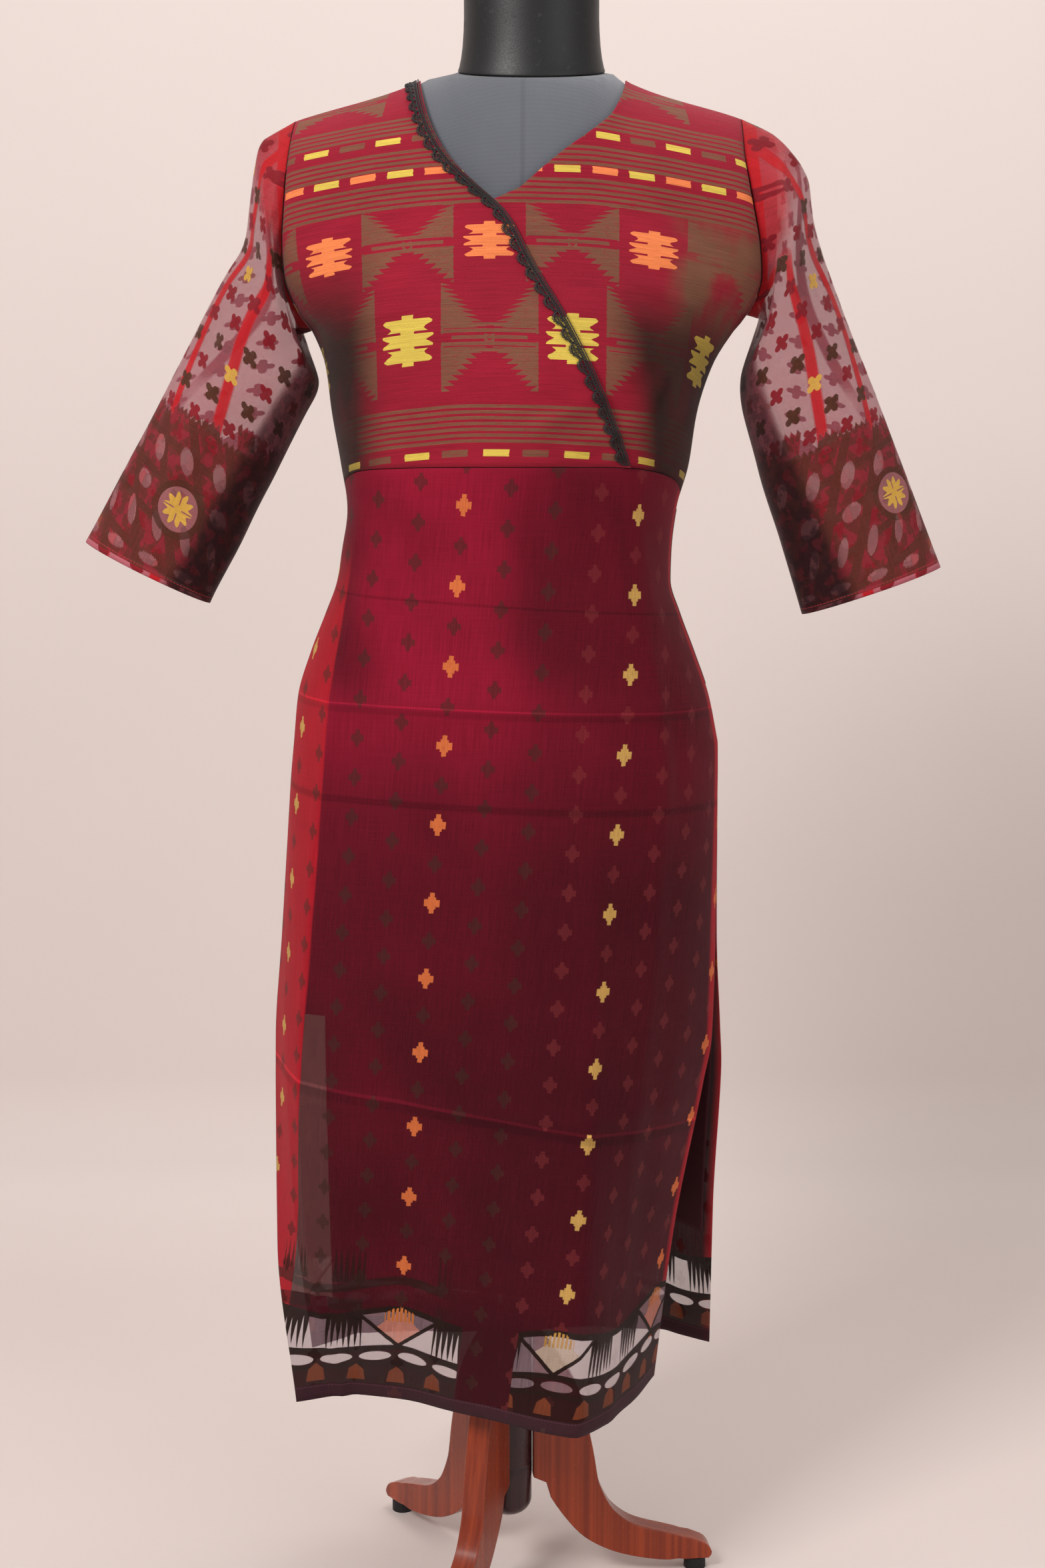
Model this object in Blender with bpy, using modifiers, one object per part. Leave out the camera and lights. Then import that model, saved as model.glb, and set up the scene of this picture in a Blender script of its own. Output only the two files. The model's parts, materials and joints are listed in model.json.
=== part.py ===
"""Kurta tunic with a crossed front, standing on a limbless dress form with a three-legged stand."""
import math

import bmesh
import bpy

# Driving sizes, in metres
CLOTH = 0.0012            # wall of every cloth piece
SEAM = 0.0006             # gap left between pieces at a seam
CHEST_Z = 1.2155          # height of the neck point of the crossed front, widest part of the armholes
UNDERARM_LEFT_Z = 1.118
UNDERARM_RIGHT_Z = 1.131
ARMHOLE_DEPTH = 0.045     # half of an armhole, front to back
WAIST_Z = 1.005           # waist seam at the middle
WAIST_DIP = 0.030         # how far the waist seam drops at the side seams
SLIT_Z = 0.770            # top of the side slits
HEM_Z = 0.192
LACE_WIDTH = 0.0125
LACE_SCALLOPS = 30
LACE_LIFT = 0.0005
LACE_EDGE_GAP = 0.0010    # left free at both ends of the lace
LACE_STEPS = 3            # points along each scallop
SHOULDER_EDGE_Z = 1.290   # height where the shoulders meet the outline
OPEN_EDGE_Z = 0.45        # height where the slit edges stand fully free
FORM_BOTTOM_Z = 0.530
NECK_BASE_Z = 1.3285      # plane where the neck block starts, at the form's axis
NECK_BASE_TILT = 0.22     # rise of that plane towards the back
NECK_TOP_Z = 1.398
NECK_X = 0.0155
PLATE_HALF_DEPTH = 0.033  # arm plates: half their depth and height
PLATE_HALF_HEIGHT = 0.056
POLE_X = -0.0045
POLE_Y = 0.008
POLE_RADIUS = 0.011
HUB_RADIUS = 0.0208
HUB_TOP_Z = 0.262
HUB_BOTTOM_Z = 0.062
LEG_THICKNESS = 0.021
LEG_ROOT_TOP_Z = 0.245    # where a leg's upper edge meets the hub
LEG_ROOT_FOOT_Z = 0.0985
LEG_ANGLES = {"back_left": 127.0, "right": 7.0, "front": -113.0}
PAD_RADIUS = 0.010
PAD_HEIGHT = 0.011
PAD_REACH = 0.1725        # from the pole to a pad's middle
ARM_STEPS = 10            # armhole levels from shoulder to underarm
WAIST_STEPS = 5           # bodice levels from underarm to waist seam
SIDE_COLUMNS = 6
LAP_COLUMNS = 8
BACK_COLUMNS = 17
SIDE_CROWD = 0.35         # how strongly the panels' columns crowd towards the side seams
BACK_CROWD = 0.035
TURN_SHARE = 0.72         # where the columns change spacing, as a share of the way to the wrap edge
RESUME_SHARE = 0.30       # and of the way from the under panel's edge to the side seam
UNDER_BESIDE = (0.15, 1.1)    # places past the wrap edge over which the under panel comes out
UNDER_ABOVE = (0.020, 0.050)  # heights above the chest over which it does the same
BACK_NECK_COLUMNS = (5, 11)   # columns of the back where its neck starts and ends
BACK_NECK_DROP = 0.48     # how far down the neck is cut, as a share of shoulder seam to chest
LINING_FRONT = (1.10, 4.80)   # first and last column kept, in places across the skirt
LINING_BACK = (0.60, 3.90)
LINING_PART = 0.86        # share of the skirt's length that is lined
LINING_LOW_GAP = 0.0035   # how much further in the lining hangs below the hips
FORM_CLEARANCE = 0.0075   # from the outside of the cloth to the form, at the chest
FORM_BACK_CLEARANCE = 0.0110
FORM_BACK_SNUG = 0.0080
FORM_SNUG = 0.0031        # the same at the shoulders, where the cloth rests
FORM_COLUMNS = 36
FORM_SPLIT_Z = 0.812      # where the grey upper form meets the black hips
SHOULDER_LEVELS = (0.2, 0.4, 0.6, 0.8, 1.0, 1.4, 1.6)
CHEST_HEIGHTS = (1.105, 1.080, 1.045, 1.004, 0.960, 0.920, 0.890, 0.850)
HIP_HEIGHTS = (0.775, 0.740, 0.700, 0.660, 0.620, 0.580, 0.545)
FORM_SQUARENESS = 2.05
FORM_LEFT_X = -0.1650     # flat sides of the form where the arm plates sit
FORM_RIGHT_X = 0.1830
FOLD_WIDTH_DEGREES = 16.0  # half width of a soft fold round a sleeve
SKIRT_PARTS = (
    0.0, 0.045, 0.095, 0.140, 0.185, 0.222, 0.240, 0.258, 0.300, 0.370, 0.440, 0.510, 0.580,
    0.630, 0.654, 0.676, 0.720, 0.790, 0.860, 0.930, 1.0,
)
COLLECTION = "kurta_tunic_on_dress_form"

# Outline of the body at the side seams: height, left, right
OUTLINE = (
    (1.320, -0.1740, 0.1830), (1.290, -0.1795, 0.1885), (1.262, -0.1830, 0.1890),
    (1.237, -0.1855, 0.1930), (1.2155, -0.1870, 0.1970), (1.184, -0.1890, 0.2030),
    (1.160, -0.1880, 0.2050), (1.131, -0.1775, 0.1965), (1.118, -0.1690, 0.1860),
    (1.089, -0.1580, 0.1680), (1.050, -0.1530, 0.1555), (1.006, -0.1455, 0.1488),
    (0.970, -0.1402, 0.1388), (0.935, -0.1456, 0.1345), (0.909, -0.1500, 0.1338),
    (0.882, -0.1600, 0.1420), (0.848, -0.1735, 0.1550), (0.811, -0.1848, 0.1680),
    (0.770, -0.1890, 0.1765),
)

# Side edges below the slits: height, front left x y, front right x y, back left x y, back right x y
SLIT_EDGES = (
    (0.770, -0.1890, 0.000, 0.1765, 0.000, -0.1890, 0.000, 0.1765, 0.000),
    (0.740, -0.1920, 0.000, 0.1768, -0.001, -0.1915, 0.002, 0.1772, 0.003),
    (0.600, -0.2018, -0.006, 0.1765, -0.003, -0.1995, 0.012, 0.1792, 0.016),
    (0.510, -0.2080, -0.011, 0.1745, -0.002, -0.2040, 0.022, 0.1845, 0.030),
    (0.470, -0.2082, -0.015, 0.1680, 0.000, -0.2040, 0.030, 0.1868, 0.040),
    (0.330, -0.2072, -0.030, 0.1430, 0.006, -0.2000, 0.052, 0.1830, 0.066),
    (0.192, -0.1905, -0.050, 0.1270, 0.010, -0.1880, 0.076, 0.1832, 0.090),
)

# Front, inside its edges: height, left corner x y, middle x y, ridge x y, right corner x y
FRONT = (
    (1.2155, -0.1400, -0.0740, 0.0130, -0.0920, 0.0820, -0.0880, 0.1560, -0.0700),
    (1.160, -0.1350, -0.0840, 0.0110, -0.1080, 0.0790, -0.1030, 0.1500, -0.0800),
    (1.118, -0.1250, -0.0900, 0.0080, -0.1200, 0.0750, -0.1140, 0.1400, -0.0860),
    (1.080, -0.1180, -0.0930, 0.0040, -0.1240, 0.0700, -0.1180, 0.1280, -0.0900),
    (1.040, -0.1180, -0.0860, -0.0050, -0.1170, 0.0620, -0.1110, 0.1160, -0.0860),
    (1.004, -0.1200, -0.0760, -0.0080, -0.1100, 0.0570, -0.1040, 0.1080, -0.0790),
    (0.930, -0.1230, -0.0720, -0.0100, -0.1060, 0.0560, -0.1000, 0.1060, -0.0760),
    (0.880, -0.1320, -0.0750, -0.0100, -0.1100, 0.0600, -0.1040, 0.1140, -0.0780),
    (0.810, -0.1480, -0.0820, -0.0100, -0.1180, 0.0660, -0.1130, 0.1300, -0.0820),
    (0.740, -0.1550, -0.0840, -0.0110, -0.1220, 0.0700, -0.1180, 0.1380, -0.0800),
    (0.600, -0.1660, -0.0820, -0.0150, -0.1180, 0.0690, -0.1180, 0.1370, -0.0700),
    (0.470, -0.1740, -0.0750, -0.0200, -0.1080, 0.0650, -0.1180, 0.1300, -0.0580),
    (0.330, -0.1690, -0.0590, -0.0270, -0.0960, 0.0590, -0.1200, 0.1160, -0.0400),
    (0.192, -0.1370, -0.0330, -0.0300, -0.0820, 0.0536, -0.1210, 0.1000, -0.0580),
)

# Back, inside its edges: height, left corner x y, middle x y, right corner x y
BACK = (
    (1.2155, -0.1350, 0.0780, 0.0130, 0.0880, 0.1510, 0.0780),
    (1.160, -0.1310, 0.0820, 0.0110, 0.0940, 0.1450, 0.0820),
    (1.118, -0.1220, 0.0790, 0.0080, 0.0930, 0.1370, 0.0790),
    (1.080, -0.1160, 0.0720, 0.0040, 0.0870, 0.1260, 0.0720),
    (1.004, -0.1060, 0.0600, 0.0000, 0.0760, 0.1040, 0.0600),
    (0.930, -0.1050, 0.0580, -0.0020, 0.0740, 0.0980, 0.0580),
    (0.880, -0.1150, 0.0670, -0.0040, 0.0880, 0.1050, 0.0670),
    (0.810, -0.1320, 0.0870, -0.0050, 0.1150, 0.1200, 0.0870),
    (0.740, -0.1380, 0.0950, -0.0050, 0.1270, 0.1260, 0.0950),
    (0.600, -0.1430, 0.0990, -0.0050, 0.1300, 0.1300, 0.1000),
    (0.470, -0.1450, 0.1040, -0.0030, 0.1280, 0.1350, 0.1100),
    (0.330, -0.1430, 0.1080, 0.0000, 0.1240, 0.1340, 0.1180),
    (0.192, -0.1380, 0.1120, 0.0020, 0.1200, 0.1280, 0.1220),
)

# Edge of the upper front panel, and neck and inner edge of the under panel: height, x
WRAP_EDGE = (
    (1.345, -0.0800), (1.317, -0.0759), (1.2886, -0.0694), (1.2657, -0.0598), (1.2471, -0.0470),
    (1.2307, -0.0299), (1.2057, -0.0032), (1.1673, 0.0174), (1.1233, 0.0439), (1.0769, 0.0677),
    (1.0273, 0.0888), (1.0036, 0.0965), (0.960, 0.1100),
)
UNDER_EDGE = (
    (1.345, 0.0960), (1.3193, 0.0931), (1.2887, 0.0813), (1.2758, 0.0680), (1.2541, 0.0384),
    (1.2367, 0.0175), (1.2251, 0.0035), (1.2155, -0.0200), (1.100, -0.0620), (0.960, -0.1130),
)

# Height of the shoulders over the form, from the left shoulder to the right: x, height
SHOULDER_LINE = (
    (-0.210, 1.2790), (-0.1795, 1.2894), (-0.0850, 1.3175), (-0.030, 1.3500),
    (0.0155, 1.3600), (0.060, 1.3500), (0.0980, 1.3191), (0.1885, 1.2913), (0.230, 1.2760),
)

# Folds of the skirt: panel, place across at the top and at the hem, top z, foot z, width, depth
SKIRT_FOLDS = (
    ("front", 3.00, 3.00, 0.860, 0.192, 0.010, 0.0045),
    ("front", 3.95, 3.60, 1.000, 0.420, 0.008, 0.0030),
    ("front", 1.00, 0.75, 1.000, 0.192, 0.008, 0.0035),
    ("front", 1.60, 1.45, 0.700, 0.192, 0.016, -0.0040),
    ("back", 0.95, 0.80, 0.900, 0.192, 0.014, 0.0040),
    ("back", 1.70, 1.60, 0.820, 0.192, 0.018, -0.0050),
    ("back", 2.45, 2.55, 0.780, 0.192, 0.016, 0.0045),
    ("back", 3.10, 3.25, 0.860, 0.192, 0.014, 0.0040),
)

# Pressed lines across the skirt: height at the left, height at the right, half width, depth
PRESSED_LINES = (
    (0.812, 0.806, 0.010, 0.0022),
    (0.476, 0.458, 0.010, 0.0030),
)

# Sleeves: outer edge x z, inner edge x z, middle y, half depth
SLEEVES = {
    "sleeve_left": (
        (-0.2070, 1.2740, -0.1835, 1.1130, 0.000, 0.0480),
        (-0.2150, 1.2520, -0.1770, 1.1010, 0.000, 0.0520),
        (-0.2200, 1.2230, -0.1690, 1.0870, 0.000, 0.0540),
        (-0.2255, 1.1900, -0.1650, 1.0730, 0.000, 0.0550),
        (-0.2430, 1.1600, -0.1765, 1.0480, 0.000, 0.0530),
        (-0.2730, 1.1050, -0.1992, 1.0040, -0.002, 0.0480),
        (-0.3030, 1.0510, -0.2192, 0.9650, -0.004, 0.0420),
        (-0.3330, 0.9960, -0.2390, 0.9270, -0.006, 0.0370),
        (-0.3630, 0.9419, -0.2583, 0.8898, -0.008, 0.0330),
    ),
    "sleeve_right": (
        (0.2160, 1.2790, 0.2150, 1.1260, 0.000, 0.0480),
        (0.2320, 1.2650, 0.2090, 1.1120, 0.000, 0.0520),
        (0.2450, 1.2430, 0.2010, 1.0960, 0.000, 0.0540),
        (0.2510, 1.2080, 0.1930, 1.0790, 0.000, 0.0550),
        (0.2620, 1.1740, 0.1945, 1.0520, 0.000, 0.0530),
        (0.2870, 1.1120, 0.2070, 1.0060, -0.002, 0.0480),
        (0.3130, 1.0480, 0.2200, 0.9640, -0.004, 0.0420),
        (0.3380, 0.9850, 0.2335, 0.9220, -0.006, 0.0370),
        (0.3635, 0.9206, 0.2469, 0.8804, -0.008, 0.0330),
    ),
}

# Soft folds down the sleeves: degrees from the outer edge over the front, first and last ring, depth
SLEEVE_FOLDS = (
    (40.0, 0.5, 5.5, -0.0045), (75.0, 0.5, 8.5, 0.0045), (110.0, 0.5, 4.5, -0.0040),
    (250.0, 0.5, 5.5, -0.0040), (290.0, 0.5, 8.5, 0.0040),
)

# Lower form: height, clearance at the sides, front y, back y
FORM_LOWER = (
    (1.118, 0.0050, -0.1080, 0.0850), (1.080, 0.0050, -0.1130, 0.0780), (1.004, 0.0060, -0.0980, 0.0670),
    (0.920, 0.0060, -0.0930, 0.0640), (0.870, 0.0055, -0.0980, 0.0780), (0.810, 0.0040, -0.1050, 0.0980),
    (0.740, 0.0035, -0.1080, 0.1080), (0.660, 0.0060, -0.1050, 0.1090), (0.590, 0.0160, -0.0980, 0.1030),
    (0.530, 0.0320, -0.0860, 0.0920),
)

# Neck block: share of its height, half width, half depth
NECK_PROFILE = (
    (0.00, 0.0608, 0.0540), (0.06, 0.0600, 0.0532), (0.30, 0.0572, 0.0510), (0.62, 0.0560, 0.0500),
    (0.90, 0.0560, 0.0500), (0.97, 0.0535, 0.0475), (1.00, 0.0480, 0.0420), (1.04, 0.0250, 0.0210),
)

# Arm plates: where each sits and ends, and the height of its middle; and its rounding, share and size
ARM_PLATES = {
    "left": (FORM_LEFT_X - SEAM, -0.1985, 1.196), "right": (FORM_RIGHT_X + SEAM, 0.2190, 1.202),
}
PLATE_ROUNDING = ((0.0, 1.0), (0.55, 1.0), (0.85, 0.93), (1.0, 0.74))

# Rounded toe of a leg, in the leg's own plane, from its upper edge to its flat
LEG_TOE = ((0.1600, 0.0335), (0.1740, 0.0290), (0.1825, 0.0245), (0.1868, 0.0175))
LEG_FLAT = (0.1840, 0.1620)   # ends of the flat above the pad
LEG_INSTEP = (0.1560, 0.0125)
LEG_HUB_CORNER = (0.0331, 0.0930)

# A leg in its own plane: distance from the pole, height, width across the curve
LEG_CURVE = (
    (0.0200, 0.205, 0.050), (0.0360, 0.165, 0.060), (0.0480, 0.120, 0.056), (0.0620, 0.080, 0.044),
    (0.0830, 0.050, 0.036), (0.1100, 0.034, 0.030), (0.1400, 0.026, 0.027), (0.1620, 0.022, 0.022),
)


def remove_old_objects():
    for old in list(bpy.data.objects):
        bpy.data.objects.remove(old, do_unlink=True)


def curve_value(rows, at, column):
    """Value of one column of a table at a given first-column value, on a smooth monotone curve."""
    points = sorted((row[0], row[column]) for row in rows)
    if at <= points[0][0]:
        return points[0][1]
    if at >= points[-1][0]:
        return points[-1][1]
    slopes = [(b[1] - a[1]) / (b[0] - a[0]) for a, b in zip(points, points[1:])]
    tangents = [slopes[0]]
    for before, after in zip(slopes, slopes[1:]):
        same_way = before * after > 0
        tangents.append(2 * before * after / (before + after) if same_way else 0.0)
    tangents.append(slopes[-1])
    index = max(i for i, point in enumerate(points[:-1]) if point[0] <= at)
    (x0, y0), (x1, y1) = points[index], points[index + 1]
    span = x1 - x0
    t = (at - x0) / span
    start = y0 + (y1 - y0) * t * t * (3 - 2 * t)
    lean = tangents[index] * t * (1 - t) ** 2 - tangents[index + 1] * t * t * (1 - t)
    return start + lean * span


def smooth_step(low, high, value):
    """0 at low, 1 at high, with a soft start and end; low may be the larger one."""
    t = min(1.0, max(0.0, (value - low) / (high - low)))
    return t * t * (3 - 2 * t)


def along(points, place, open_edges=0.0):
    """Point on a smooth curve through a section's points.

    Where front and back are sewn together the curve meets both ends facing front or back;
    open_edges is 1 where the edges hang free, and the ends then simply run on.
    """
    last = len(points) - 1
    index = min(int(place), last - 1)
    t = place - index
    lengths = [math.dist(a, b) for a, b in zip(points, points[1:])]

    def end_tangent(a, b):
        sewn = (0.0, math.copysign(1.0, b[1] - a[1]))
        free = ((b[0] - a[0]) / math.dist(a, b), (b[1] - a[1]) / math.dist(a, b))
        return tuple(sewn[k] + (free[k] - sewn[k]) * open_edges for k in (0, 1))

    def tangent(i):
        if i == 0:
            return end_tangent(points[0], points[1])
        if i == last:
            return end_tangent(points[-2], points[-1])
        span = lengths[i - 1] + lengths[i]
        return tuple((points[i + 1][k] - points[i - 1][k]) / span for k in (0, 1))

    start, end, length = points[index], points[index + 1], lengths[index]
    go, arrive = tangent(index), tangent(index + 1)
    h00, h01 = 2 * t**3 - 3 * t**2 + 1, 3 * t**2 - 2 * t**3
    h10, h11 = t**3 - 2 * t**2 + t, t**3 - t**2
    return tuple(
        h00 * start[k] + h01 * end[k] + (h10 * go[k] + h11 * arrive[k]) * length for k in (0, 1)
    )


def underarm(share):
    return UNDERARM_LEFT_Z + (UNDERARM_RIGHT_Z - UNDERARM_LEFT_Z) * share


def armhole_reach(z, share):
    """How far the armhole opens in front of and behind the side seam at a height."""
    low = underarm(share)
    if z <= low or z > CHEST_Z:
        return 0.0 if z <= low else ARMHOLE_DEPTH
    return ARMHOLE_DEPTH * math.sqrt(max(0.0, 1 - ((CHEST_Z - z) / (CHEST_Z - low)) ** 2))


def section(panel, z):
    """Control points of the front or the back at a height, from the left edge to the right."""
    table, side = (FRONT, -1.0) if panel == "front" else (BACK, 1.0)
    count = (len(table[0]) - 1) // 2
    inner = [
        (curve_value(table, z, 1 + 2 * i), curve_value(table, z, 2 + 2 * i)) for i in range(count)
    ]
    if z >= SLIT_Z:
        left = (curve_value(OUTLINE, z, 1), side * armhole_reach(z, 0.0))
        right = (curve_value(OUTLINE, z, 2), side * armhole_reach(z, 1.0))
    else:
        first = 1 if panel == "front" else 5
        edge = [curve_value(SLIT_EDGES, z, first + i) for i in range(4)]
        left, right = (edge[0], edge[1]), (edge[2], edge[3])
    return [left] + inner + [right]


def last_place(panel):
    return 5.0 if panel == "front" else 4.0


def shoulder_z(x):
    return curve_value(SHOULDER_LINE, x, 1)


def waist_z(share):
    return WAIST_Z - WAIST_DIP * abs(2 * share - 1) ** 5


def body_point(panel, place, level):
    """A point on the outside of the body cloth.

    place runs across from the left edge. level runs down: 0 at the shoulder seam, 1 at the chest,
    2 at the underarm, 3 at the waist seam, and past 3 it is 3 plus metres below the waist seam.
    """
    share = place / last_place(panel)
    side = -1.0 if panel == "front" else 1.0
    if level < 1:
        angle = level * math.pi / 2
        x, y = along(section(panel, CHEST_Z), place)
        wide_left, wide_right = curve_value(OUTLINE, CHEST_Z, 1), curve_value(OUTLINE, CHEST_Z, 2)
        part = (x - wide_left) / (wide_right - wide_left)
        edge_z = CHEST_Z + (SHOULDER_EDGE_Z - CHEST_Z) * math.cos(angle)
        left, right = curve_value(OUTLINE, edge_z, 1), curve_value(OUTLINE, edge_z, 2)
        x = left + (right - left) * part
        z = CHEST_Z + (shoulder_z(x) - CHEST_Z) * math.cos(angle)
        return (x, y * math.sin(angle) + side * SEAM / 2, z)
    if level <= 2:
        angle = level * math.pi / 2
        z = CHEST_Z + (CHEST_Z - underarm(share)) * math.cos(angle)
    elif level <= 3:
        z = underarm(share) + (waist_z(share) - underarm(share)) * (level - 2)
    else:
        z = waist_z(share) - (level - 3)
    x, y = along(section(panel, z), place, smooth_step(SLIT_Z, OPEN_EDGE_Z, z))
    return (x, y + side * SEAM / 2, z)


def skirt_point(panel, place, part):
    """A point on the outside of the skirt; part is 0 at the waist seam and 1 at the hem."""
    share = place / last_place(panel)
    z = waist_z(share) - SEAM / 2 + (HEM_Z - waist_z(share)) * part
    x, y, z = body_point(panel, place, 3 + waist_z(share) - z)
    side = -1.0 if panel == "front" else 1.0
    width = curve_value(OUTLINE, max(z, SLIT_Z), 2) - curve_value(OUTLINE, max(z, SLIT_Z), 1)
    for name, top, foot, top_z, foot_z, fold_width, depth in SKIRT_FOLDS:
        if name == panel and z < top_z:
            down = min(1.0, (top_z - z) / (top_z - foot_z))
            centre = top + (foot - top) * down
            away = (place - centre) / last_place(panel) * width
            strength = smooth_step(0.0, 0.35, down)
            y += side * depth * strength * math.exp(-(away / fold_width) ** 2)
    for left_z, right_z, half_width, depth in PRESSED_LINES:
        line = left_z + (right_z - left_z) * share
        edge_fade = smooth_step(0.0, 0.12, share) * smooth_step(0.0, 0.12, 1 - share)
        y += side * depth * edge_fade * math.exp(-((z - line) / half_width) ** 2)
    return (x, y, z)


def new_material(name, colour, roughness):
    material = bpy.data.materials.new(name)
    material.use_nodes = True
    shader = material.node_tree.nodes["Principled BSDF"]
    shader.inputs["Base Color"].default_value = (*colour, 1.0)
    shader.inputs["Roughness"].default_value = roughness
    return material


def new_object(name, mesh, colour, roughness):
    mesh.materials.append(new_material(name + "_finish", colour, roughness))
    piece = bpy.data.objects.new(name, mesh)
    bpy.data.collections[COLLECTION].objects.link(piece)
    return piece


def grid_mesh(name, rows, closed=False, flip=False):
    """A sheet of quads through rows of points; closed joins each row's last point to its first."""
    mesh_data = bmesh.new()
    grid = [[mesh_data.verts.new(point) for point in row] for row in rows]
    count = len(rows[0])
    for upper, lower in zip(grid, grid[1:]):
        for i in range(count if closed else count - 1):
            j = (i + 1) % count
            corners = (upper[i], lower[i], lower[j], upper[j])
            mesh_data.faces.new(corners[::-1] if flip else corners)
    mesh = bpy.data.meshes.new(name)
    mesh_data.to_mesh(mesh)
    mesh_data.free()
    mesh.shade_smooth()
    return mesh


def cloth_piece(name, rows, colour, closed=False, flip=False, wall=CLOTH):
    """A cloth wall: its rows lie on the outside, and the wall grows inwards."""
    piece = new_object(name, grid_mesh(name, rows, closed, flip), colour, 0.85)
    thick = piece.modifiers.new("wall", "SOLIDIFY")
    thick.thickness = wall
    thick.offset = -1.0
    thick.use_even_offset = True
    return piece


def closed_body(name, rings, colour, roughness, zip_top=False):
    """A solid through closed rings, capped at both ends; zip_top closes a long narrow top with quads."""
    mesh_data = bmesh.new()
    grid = [[mesh_data.verts.new(point) for point in ring] for ring in rings]
    count = len(rings[0])
    for upper, lower in zip(grid, grid[1:]):
        for i in range(count):
            j = (i + 1) % count
            mesh_data.faces.new((upper[i], lower[i], lower[j], upper[j]))
    if zip_top:
        top, half = grid[0], count // 2
        mesh_data.faces.new((top[0], top[1], top[count - 1]))
        for k in range(1, half - 1):
            mesh_data.faces.new((top[k], top[k + 1], top[count - k - 1], top[count - k]))
        mesh_data.faces.new((top[half - 1], top[half], top[half + 1]))
    else:
        mesh_data.faces.new(grid[0])
    mesh_data.faces.new(grid[-1][::-1])
    bmesh.ops.recalc_face_normals(mesh_data, faces=mesh_data.faces)
    mesh = bpy.data.meshes.new(name)
    mesh_data.to_mesh(mesh)
    mesh_data.free()
    mesh.shade_smooth()
    return new_object(name, mesh, colour, roughness)


def bodice_levels():
    arm = [2.0 * k / ARM_STEPS for k in range(ARM_STEPS + 1)]
    return arm + [2 + k / WAIST_STEPS for k in range(1, WAIST_STEPS + 1)]


def place_where(level, edge_table):
    """Where the front's row at a level crosses a panel edge given by height and x."""
    low, high = 0.0, last_place("front")
    for _ in range(30):
        middle = (low + high) / 2
        x, _, z = body_point("front", middle, level)
        if x < curve_value(edge_table, z, 1):
            low = middle
        else:
            high = middle
    return (low + high) / 2


def lift_bottom(point, level):
    """Keeps the bodice just above the waist seam."""
    return (point[0], point[1], point[2] + (SEAM / 2 if level >= 3 else 0.0))


def spaced(start, end, count, crowd=0.0):
    """Places from start up to but not including end; crowd above 0 packs them towards the start."""
    shares = [i / count for i in range(count)]
    return [start + (end - start) * share * (1 - crowd * (1 - share)) for share in shares]


def front_places(level):
    """Columns of the two front panels at a level; the two share them where one lies on the other."""
    wrap = place_where(level, WRAP_EDGE)
    inner = place_where(level, UNDER_EDGE)
    end = last_place("front")
    turn = min(inner, TURN_SHARE * wrap)
    resume = max(wrap, inner + RESUME_SHARE * (end - inner))
    side = [end - place for place in spaced(0.0, end - resume, SIDE_COLUMNS, SIDE_CROWD)][::-1]
    over = spaced(0.0, turn, SIDE_COLUMNS, SIDE_CROWD) + spaced(turn, wrap, LAP_COLUMNS) + [wrap]
    under = spaced(inner, resume, LAP_COLUMNS) + [resume] + side
    return over, under


def over_panel_rows():
    return [
        [lift_bottom(body_point("front", place, level), level) for place in front_places(level)[0]]
        for level in bodice_levels()
    ]


def under_panel_rows():
    """The under panel: moved in by a wall and a seam where the upper panel lies on it."""
    rows = []
    for level in bodice_levels():
        edge = place_where(level, WRAP_EDGE)
        row = []
        for place in front_places(level)[1]:
            x, y, z = lift_bottom(body_point("front", place, level), level)
            beside = smooth_step(edge + UNDER_BESIDE[0], edge + UNDER_BESIDE[1], place)
            above = smooth_step(CHEST_Z + UNDER_ABOVE[0], CHEST_Z + UNDER_ABOVE[1], z)
            row.append((x, y + (CLOTH + 2 * SEAM) * (1 - max(beside, above)), z))
        rows.append(row)
    return rows


def back_shares():
    """Columns of the back, closer together near the side seams."""
    even = [i / (BACK_COLUMNS - 1) for i in range(BACK_COLUMNS)]
    return [share + BACK_CROWD * math.sin(2 * math.pi * (share - 0.5)) for share in even]


def back_panel_rows():
    """The back of the bodice, with a shallow round neck cut into its top edge."""
    neck_left, neck_right = (back_shares()[column] for column in BACK_NECK_COLUMNS)
    middle, half = (neck_left + neck_right) / 2, (neck_right - neck_left) / 2
    rows = []
    for level in bodice_levels():
        row = []
        for share in back_shares():
            off = min(1.0, abs(share - middle) / half)
            start = BACK_NECK_DROP * (1 - off**2) ** 0.75
            lowered = start + (1 - start) * level if level < 1 else level
            row.append(lift_bottom(body_point("back", share * last_place("back"), lowered), level))
        rows.append(row)
    return rows


def skirt_places(panel):
    """Columns of a skirt panel: the bodice's own, so that the waist seam meets all along."""
    if panel == "back":
        return [share * last_place("back") for share in back_shares()]
    over, under = front_places(3.0)
    return over + [place for place in under if place > over[-1] + 0.02]


def skirt_rows(panel):
    return [[skirt_point(panel, place, part) for place in skirt_places(panel)] for part in SKIRT_PARTS]


def moved_in(rows, distance_at):
    """Rows moved in along each row's own normal, by a distance that depends on the height."""
    result = []
    for row in rows:
        new_row = []
        for i, (x, y, z) in enumerate(row):
            before, after = row[max(i - 1, 0)], row[min(i + 1, len(row) - 1)]
            dx, dy = after[0] - before[0], after[1] - before[1]
            length = math.hypot(dx, dy)
            side = 1.0 if y < 0.01 else -1.0
            distance = distance_at(z) * side
            new_row.append((x - dy / length * distance, y + dx / length * distance, z))
        result.append(new_row)
    return result


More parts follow.
